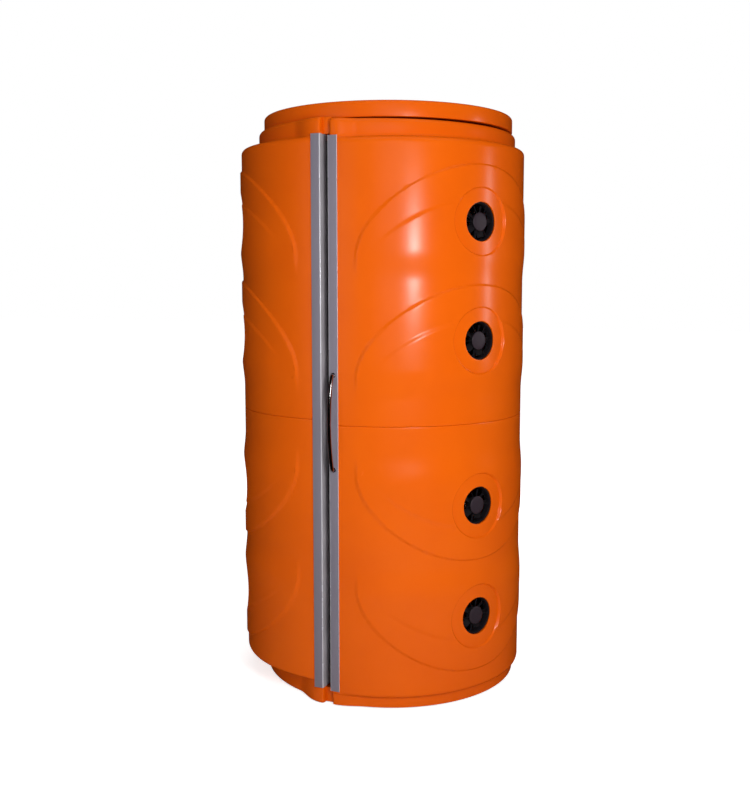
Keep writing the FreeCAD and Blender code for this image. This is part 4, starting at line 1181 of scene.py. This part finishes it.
def guardPattern():
    # a slightly domed centre plate and six wires
    bm = bmesh.new()
    low = fan["front"]
    high = low + fan["plateHigh"]
    plate = fan["plate"]
    root = plate - fan["wireRoot"]
    ease = fan["plateEase"]
    brim, slope, crown = fan["plateDome"]
    spunProfile(bm, [(0, low), (plate - ease, low), (plate, low + ease), (plate - 0.8 * ease, high - brim),
                     (root, high - slope), (plate / 2, high - crown), (0, high)], fan["plateSteps"])
    lift = upwards * (low + fan["wire"])
    for i in range(fan["spokes"]):
        a = 2 * math.pi * i / fan["spokes"]
        out = Vector((math.cos(a), math.sin(a), 0))
        across = Vector((-math.sin(a), math.cos(a), 0))
        tube(bm, [out * root + lift, out * fan["reach"] + lift], fan["wire"], fan["wireSides"], across)
    closeUp(bm)
    for face in bm.faces:
        reach = face.calc_center_median().xy.length
        if reach < plate - ease / 2 and len(face.verts) < 8 and face.normal.z > 0.3:
            face.material_index = 1
    return inMesh(bm)


bladeShape = {"rows": 9, "across": 7, "sunk": 0.002, "chordShare": 0.86, "bulge": 0.14,
              "bulgeSpan": (0.2, 0.6)}


def bladeRows(size):
    # rows of points from the root to the tip; the pitch eases off and the chord is widest in the middle
    root = size["hub"] - bladeShape["sunk"]
    first, spread = bladeShape["bulgeSpan"]
    rows = []
    for j in range(bladeShape["rows"]):
        share = j / (bladeShape["rows"] - 1)
        out = root + (size["tip"] - root) * share
        pitch = math.radians(size["rootPitch"] + (size["tipPitch"] - size["rootPitch"]) * share)
        bulge = bladeShape["bulge"] * math.sin(math.pi * (first + spread * share))
        chord = size["chord"] * (bladeShape["chordShare"] + bulge)
        row = []
        for k in range(bladeShape["across"]):
            along = k / (bladeShape["across"] - 1)
            c = (along - 0.5) * chord
            lift = size["camber"] * (1 - (2 * along - 1) ** 2)
            y = c * math.cos(pitch) - lift * math.sin(pitch)
            z = c * math.sin(pitch) + lift * math.cos(pitch)
            bow = math.sqrt(max(out * out - y * y, 0.0))
            row.append(Vector((bow, y, size["hubFront"] - size["hubDepth"] / 2 + z)))
        rows.append(row)
    return rows


def rotorPattern(size):
    # a cup with blades that twist towards the tip
    bm = bmesh.new()
    front = size["hubFront"]
    back = front - size["hubDepth"]
    hub = size["hub"]
    wall = size["hubWall"]
    points = [(0, front)] + roundCorner((hub, front), (-1, 0), (0, -1), size["hubEase"], 5)
    points += [(hub, back), (hub - wall, back), (hub - wall, front - wall), (0, front - wall)]
    spunProfile(bm, points, size["hubSteps"])
    closeUp(bm)
    for i in range(size["blades"]):
        start = len(bm.verts)
        made = gridOf(bm, bladeRows(size))
        faces = facesOf(made)
        bmesh.ops.recalc_face_normals(bm, faces=faces)
        bmesh.ops.solidify(bm, geom=faces, thickness=size["blade"])
        moveAdded(bm, start, Matrix.Rotation(2 * math.pi * i / size["blades"], 4, "Z"))
    bmesh.ops.recalc_face_normals(bm, faces=bm.faces)
    return inMesh(bm)


def makeFans():
    framePattern = fanFramePattern()
    guard = guardPattern()
    rotor = rotorPattern(fan)
    for side in halves:
        body = halves[side]["body"]
        places = [ventPlace(z, side == "left") for z in fanHeights(side)]
        savePiece(copies(framePattern, places), side + "_fan_frames", body)
        savePiece(copies(guard, places), side + "_fan_guards", body, "blackPlastic", "hubPlastic")
        for i, place in enumerate(places, 1):
            savePiece(copies(rotor, [place]), "%s_fan_rotor_%d" % (side, i), "%s_fan_%d" % (side, i))


makeFans()

exhaustFan = {"hub": 0.044, "hubFront": 2.176, "hubDepth": 0.044, "hubEase": 0.006, "hubWall": 0.004,
              "hubSteps": 48, "tip": 0.141, "blades": 7, "chord": 0.070, "rootPitch": 36.0,
              "tipPitch": 26.0, "blade": 0.0025, "camber": 0.006}
savePiece(copies(rotorPattern(exhaustFan), [Matrix.Identity(4)]), "exhaust_rotor", "exhaust_fan")
print("fans made")


# lamps

lamps = {"circle": 0.391, "centre": (0.0, -0.025), "radius": 0.0163, "socket": 0.017, "socketHigh": 0.024,
         "ease": 0.0012, "neck": 0.006, "seam": 0.0005, "steps": 20,
         # first and last angle, and the number of lamps between them
         "doorSpan": (7.5, 118.5, 13), "rearSpan": (131.0, 168.5, 5)}


def lampPattern(bottom, top):
    bm = bmesh.new()
    radius = lamps["radius"]
    socket = lamps["socket"]
    ease = lamps["ease"]
    points = [(0, bottom), (socket - ease, bottom), (socket, bottom + ease)]
    low = bottom + lamps["socketHigh"]
    points += [(socket, low - ease), (socket - ease, low)]
    points += [(radius - lamps["neck"] / 2, low + lamps["seam"]), (radius, low + lamps["neck"])]
    mirror = [(r, bottom + top - z) for r, z in reversed(points)]
    spunProfile(bm, points + mirror, lamps["steps"])
    closeUp(bm)
    for face in bm.faces:
        z = face.calc_center_median().z
        if z < low + 0.6 * lamps["seam"] or z > bottom + top - low - 0.6 * lamps["seam"]:
            face.material_index = 1
    return inMesh(bm)


def lampPlaces(span, mirrored):
    first, last, count = span
    places = []
    for i in range(count):
        a = math.radians(first + (last - first) * i / (count - 1))
        x = lamps["centre"][0] + lamps["circle"] * math.sin(a)
        y = lamps["centre"][1] - lamps["circle"] * math.cos(a)
        places.append(Matrix.Translation((-x if mirrored else x, y, 0)))
    return places


def makeLamps():
    low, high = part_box("door_lamps")
    pattern = lampPattern(low.z, high.z)
    rearPlaces = lampPlaces(lamps["rearSpan"], False) + lampPlaces(lamps["rearSpan"], True)
    rows = (("door_lamps", lampPlaces(lamps["doorSpan"], False), "door"),
            ("left_lamps", lampPlaces(lamps["doorSpan"], True), "cabinet"),
            ("rear_lamps", rearPlaces, "cabinet"))
    for name, places, body in rows:
        savePiece(copies(pattern, places), name, body, "lampGlass", "zinc")


makeLamps()
print("lamps made")


# deck, mat, pan and overhead bar

deck = {"centre": (0.0, -0.025), "radius": 0.3646, "step": 0.010, "foot": 0.002, "ease": 0.004,
        "cornerEase": 0.003, "topEase": 0.0045, "steps": 144}


def makeDeck():
    low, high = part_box("standing_deck")
    outer = deck["radius"]
    inner = outer - deck["step"]
    ledge = high.z - deck["step"]
    points = [(0, low.z), (outer - deck["foot"], low.z), (outer, low.z + deck["foot"])]
    points += roundCorner((outer, ledge), (0, -1), (-1, 0), deck["ease"], 5)
    points += roundCorner((inner, ledge), (1, 0), (0, 1), deck["cornerEase"], 3)
    points += roundCorner((inner, high.z), (0, -1), (-1, 0), deck["topEase"], 5)
    points.append((0, high.z))
    bm = bmesh.new()
    spunProfile(bm, points, deck["steps"], deck["centre"])
    closeUp(bm)
    savePiece(bm, "standing_deck", "cabinet")


pan = {"radius": 0.4762, "chamfer": 0.001, "steps": 144}


def makePan():
    low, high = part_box("base_pan")
    radius = pan["radius"]
    chamfer = pan["chamfer"]
    bm = bmesh.new()
    spunProfile(bm, [(0, low.z), (radius - chamfer, low.z), (radius, low.z + chamfer),
                     (radius, high.z - chamfer), (radius - chamfer, high.z), (0, high.z)], pan["steps"])
    closeUp(bm)
    savePiece(bm, "base_pan", "cabinet")


mat = {"radius": 0.352, "foot": 0.001, "rise": 0.0005, "crown": 0.0006, "rib": 0.012, "pitch": 0.044,
       "ribSpread": 1.7, "ribField": 0.88, "sunk": 0.001, "ease": 0.0009}


def makeMat():
    # an eight-sided sheet under a row of ribs
    low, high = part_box("deck_mat")
    bm = bmesh.new()
    radius = mat["radius"]
    middle = (low.z + high.z) / 2
    foot = mat["foot"]
    levels = ((foot, low.z), (0.0, low.z + foot), (0.0, middle - mat["rise"]), (mat["crown"], middle))
    cappedLoft(bm, [ringAt(radius - inset, z, 8, 0.5, deck["centre"]) for inset, z in levels])
    count = int(mat["ribSpread"] * radius / mat["pitch"])
    half = mat["rib"] / 2
    y = deck["centre"][1]
    for i in range(count):
        x = (i - (count - 1) / 2) * mat["pitch"]
        reach = math.sqrt((radius * mat["ribField"]) ** 2 - x * x)
        block(bm, (x - half, y - reach, middle - mat["sunk"]), (x + half, y + reach, high.z), mat["ease"], 3)
    bmesh.ops.recalc_face_normals(bm, faces=bm.faces)
    savePiece(bm, "deck_mat", "cabinet")


makeDeck()
makePan()
makeMat()

grabBar = {"half": 0.190, "y": 0.040, "drop": 0.082, "bend": 0.030, "straight": 0.005, "radius": 0.0108,
           "flange": 0.0232, "flangeHigh": 0.005, "flangeEase": 0.002, "flangeSteps": 40, "sides": 24,
           "bendSteps": 10}


def makeGrabBar():
    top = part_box("grab_bar")[1].z
    bottom = top - grabBar["drop"]
    y = grabBar["y"]
    half = grabBar["half"]
    turn = grabBar["bend"]
    above = bottom + turn + grabBar["straight"]
    left = [Vector((-half, y, top)), Vector((-half, y, above))]
    left += bend(Vector((-half, y, bottom + turn)), Vector((-half, y, bottom)),
                 Vector((turn - half, y, bottom)), grabBar["bendSteps"])
    path = left + [Vector((-point.x, point.y, point.z)) for point in reversed(left)]
    bm = bmesh.new()
    tube(bm, path, grabBar["radius"], grabBar["sides"], Vector((0, 1, 0)))
    flange = grabBar["flange"]
    under = top - grabBar["flangeHigh"]
    points = [(0, under)] + roundCorner((flange, under), (-1, 0), (0, 1), grabBar["flangeEase"], 4)
    points += [(flange, top), (0, top)]
    for side in (-1, 1):
        spunProfile(bm, points, grabBar["flangeSteps"], (side * half, y))
    closeUp(bm)
    savePiece(bm, "grab_bar", "cabinet")


makeGrabBar()
print("cabin made")


# hinges

hinge = {"reach": 0.524, "knuckle": 0.0075, "knuckleLong": 0.040, "play": 0.0005, "leaf": 0.0025,
         "leafWidth": 0.050, "leafStart": 0.009, "overlap": 0.001, "ease": 0.0006, "steps": 28,
         "heights": (0.330, 1.120, 1.870)}


def hingePattern(side, starts):
    # a leaf with its knuckles; side is 1 behind the hinge plane and -1 on the door
    bm = bmesh.new()
    half = hinge["knuckleLong"] * 1.5 + hinge["play"]
    gap = halves["door"]["gap"]
    near, far = sorted((side * gap, side * (gap - hinge["leaf"])))
    ease = hinge["ease"]
    r = hinge["knuckle"]
    block(bm, (-hinge["leafWidth"], near, -half), (-hinge["leafStart"], far, half), ease)
    for start in starts:
        end = start + hinge["knuckleLong"]
        block(bm, (-hinge["leafStart"] - hinge["overlap"], near, start), (0, far, end), ease)
        spunProfile(bm, [(0, start), (r - ease, start), (r, start + ease), (r, end - ease), (r - ease, end),
                         (0, end)], hinge["steps"])
    closeUp(bm)
    return inMesh(bm)


def makeHinges():
    half = hinge["knuckleLong"] / 2
    total = 3 * half + hinge["play"]
    places = [turnedPlace(hingeOut, hingeAcross, upwards, hingeOut * hinge["reach"] + upwards * z)
              for z in hinge["heights"]]
    rows = (("hinge_brackets", 1, (-total, half + hinge["play"]), "cabinet"),
            ("door_hinge_leaves", -1, (-half,), "door"))
    for name, side, starts, body in rows:
        savePiece(copies(hingePattern(side, starts), places), name, body)


makeHinges()


# cable gland

gland = {"nut": 0.0188, "nutHigh": 0.009, "nutEase": 0.001, "nutInset": 0.0012, "cap": 0.0128,
         "capFoot": 0.008, "capWaist": 0.014, "capTop": 0.0238, "capInset": 0.001, "capRound": 0.004,
         "bore": 0.0064, "steps": 32, "y": 0.490, "z": 0.190}


def makeGland():
    # a six-sided nut and a rounded cap with the bore for the lead
    bm = bmesh.new()
    nut = gland["nut"]
    high = gland["nutHigh"]
    levels = ((nut, 0.0), (nut, high - gland["nutEase"]), (nut - gland["nutInset"], high))
    cappedLoft(bm, [ringAt(radius, z, 6, 0.5) for radius, z in levels])
    cap = gland["cap"]
    foot = gland["capFoot"]
    top = gland["capTop"]
    points = [(cap, foot), (cap, gland["capWaist"])]
    points += roundCorner((cap - gland["capInset"], top), (0, -1), (-1, 0), gland["capRound"], 5)
    points += [(gland["bore"], top), (gland["bore"], foot), (cap, foot)]
    spunProfile(bm, points, gland["steps"])
    closeUp(bm)
    place = Matrix.Translation((0, gland["y"], gland["z"])) @ Matrix.Rotation(math.radians(-90), 4, "X")
    bmesh.ops.transform(bm, matrix=place, verts=bm.verts)
    savePiece(bm, "inlet_gland", "cabinet")


makeGland()
print("hinges and gland made")


# camera

cameraView = {
    "distance": 4.1419,
    "azimuth": math.radians(23.0566),
    "height": 1.5617,
    "yaw": math.radians(-0.0286),
    "pitch": math.radians(6.4137),
    "roll": math.radians(-0.0352),
    "focalPixels": 1015.46,
    "middle": (388.16, 396.38),
    "imageSize": (750, 800),
    "clip": (0.05, 60),
}


def makeCamera():
    data = bpy.data.cameras.new("camera")
    camera = bpy.data.objects.new("camera", data)
    scene.collection.objects.link(camera)
    a = cameraView["azimuth"]
    camera.location = (cameraView["distance"] * math.sin(a), -cameraView["distance"] * math.cos(a),
                       cameraView["height"])
    camera.rotation_euler = (math.pi / 2 - cameraView["pitch"], cameraView["roll"], a + cameraView["yaw"])
    width, height = cameraView["imageSize"]
    data.lens = cameraView["focalPixels"] / max(width, height) * data.sensor_width
    data.shift_x = (width / 2 - cameraView["middle"][0]) / max(width, height)
    data.shift_y = (cameraView["middle"][1] - height / 2) / max(width, height)
    data.clip_start, data.clip_end = cameraView["clip"]
    scene.camera = camera


makeCamera()


# light and floor

studio = {
    "worldLight": 0.17,
    "floorSize": 30.0,
    "floorColour": (0.84, 0.83, 0.82),
    "floorGlow": (0.72, 1.0),
    "floorFade": (1.4, 4.0),
    "flagRadius": 5.5,
    "flagHigh": 5.0,
    "flagLow": -0.02,
}
lights = [
    # name, azimuth, distance, height, width, tall, power, aimed at height, seen in gloss
    ("keyBox", 39.5, 3.2, 1.70, 0.30, 0.34, 14.0, 1.25, True),
    ("keyFill", 39.5, 3.2, 1.70, 0.9, 0.9, 33.0, 1.25, False),
    ("sideStrip", 103.0, 3.0, 1.72, 0.14, 1.1, 5.0, 1.30, True),
    ("rightFill", 26.0, 3.6, 1.90, 1.6, 1.8, 21.0, 1.20, False),
    ("leftFill", -20.0, 3.6, 1.70, 1.6, 1.8, 13.0, 1.10, False),
    ("backFill", 190.0, 4.0, 2.20, 2.4, 2.4, 58.0, 1.10, False),
]
overhead = {"place": (0.5, -0.8, 4.4), "target": (0, 0, 1.0), "size": 3.0, "power": 34.0}


def onCircle(azimuth, distance, z):
    a = math.radians(azimuth)
    return Vector((distance * math.sin(a), -distance * math.cos(a), z))


def areaLight(name, place, target, width, tall, power, glossy):
    data = bpy.data.lights.new(name, "AREA")
    data.shape = "RECTANGLE"
    data.size = width
    data.size_y = tall
    data.energy = power
    light = bpy.data.objects.new(name, data)
    scene.collection.objects.link(light)
    light.location = place
    light.rotation_euler = (target - place).to_track_quat("-Z", "Y").to_euler()
    light.visible_glossy = glossy


for name, azimuth, distance, height, width, tall, power, aim, glossy in lights:
    areaLight(name, onCircle(azimuth, distance, height), Vector((0, 0, aim)), width, tall, power, glossy)
areaLight("overhead", Vector(overhead["place"]), Vector(overhead["target"]), overhead["size"],
          overhead["size"], overhead["power"], False)


def makeFloor():
    # bright enough for the camera to run into the white backdrop, and still darker in the object's shadow
    bm = bmesh.new()
    bmesh.ops.create_grid(bm, x_segments=2, y_segments=2, size=studio["floorSize"])
    look = surface("paleFloor", studio["floorColour"], (0.82, 0.81, 0.80), 0.60, patchScale=0.4, specular=0.0)
    tree = look.node_tree
    path = tree.nodes.new("ShaderNodeLightPath")
    coords = tree.nodes.new("ShaderNodeTexCoord")
    away = tree.nodes.new("ShaderNodeVectorMath")
    away.operation = "LENGTH"
    tree.links.new(coords.outputs["Object"], away.inputs[0])
    distant = rangeNode(tree, away.outputs["Value"], *studio["floorGlow"], *studio["floorFade"])
    glow = tree.nodes.new("ShaderNodeMath")
    glow.operation = "MULTIPLY"
    tree.links.new(path.outputs["Is Camera Ray"], glow.inputs[0])
    tree.links.new(distant.outputs["Result"], glow.inputs[1])
    shader = tree.nodes["Principled BSDF"]
    shader.inputs["Emission Color"].default_value = (1, 1, 1, 1)
    tree.links.new(glow.outputs["Value"], shader.inputs["Emission Strength"])
    floor = bpy.data.objects.new("floor", meshFrom(bm, "floor", look))
    scene.collection.objects.link(floor)
    floor.visible_glossy = False


def makeFlags():
    # dark cloth under and round the set, seen only in gloss, so that the orange keeps its depth
    bm = bmesh.new()
    radius = studio["flagRadius"]
    low = studio["flagLow"]
    high = studio["flagHigh"]
    spunProfile(bm, [(0, low), (radius, low), (radius, high), (0, high)], 64)
    closeUp(bm)
    cloth = surface("darkCloth", (0.010, 0.009, 0.009), (0.014, 0.012, 0.012), 0.9, patchScale=2.0,
                    specular=0.1)
    flags = bpy.data.objects.new("flags", meshFrom(bm, "flags", cloth))
    scene.collection.objects.link(flags)
    flags.visible_camera = False
    flags.visible_diffuse = False
    flags.visible_shadow = False
    flags.visible_transmission = False


def makeWorld():
    # white for the camera and in gloss, dim as a light
    world = bpy.data.worlds.new("studio")
    scene.world = world
    world.use_nodes = True
    tree = world.node_tree
    background = tree.nodes["Background"]
    background.inputs["Color"].default_value = (1, 1, 1, 1)
    path = tree.nodes.new("ShaderNodeLightPath")
    seen = path.outputs["Is Camera Ray"]
    for ray in ("Is Glossy Ray", "Is Transmission Ray"):
        either = tree.nodes.new("ShaderNodeMath")
        either.operation = "MAXIMUM"
        tree.links.new(seen, either.inputs[0])
        tree.links.new(path.outputs[ray], either.inputs[1])
        seen = either.outputs["Value"]
    strength = rangeNode(tree, seen, studio["worldLight"], 1.0, 0.0, 1.0)
    tree.links.new(strength.outputs["Result"], background.inputs["Strength"])


makeFloor()
makeFlags()
makeWorld()
scene.view_settings.view_transform = "Standard"
print("studio made")
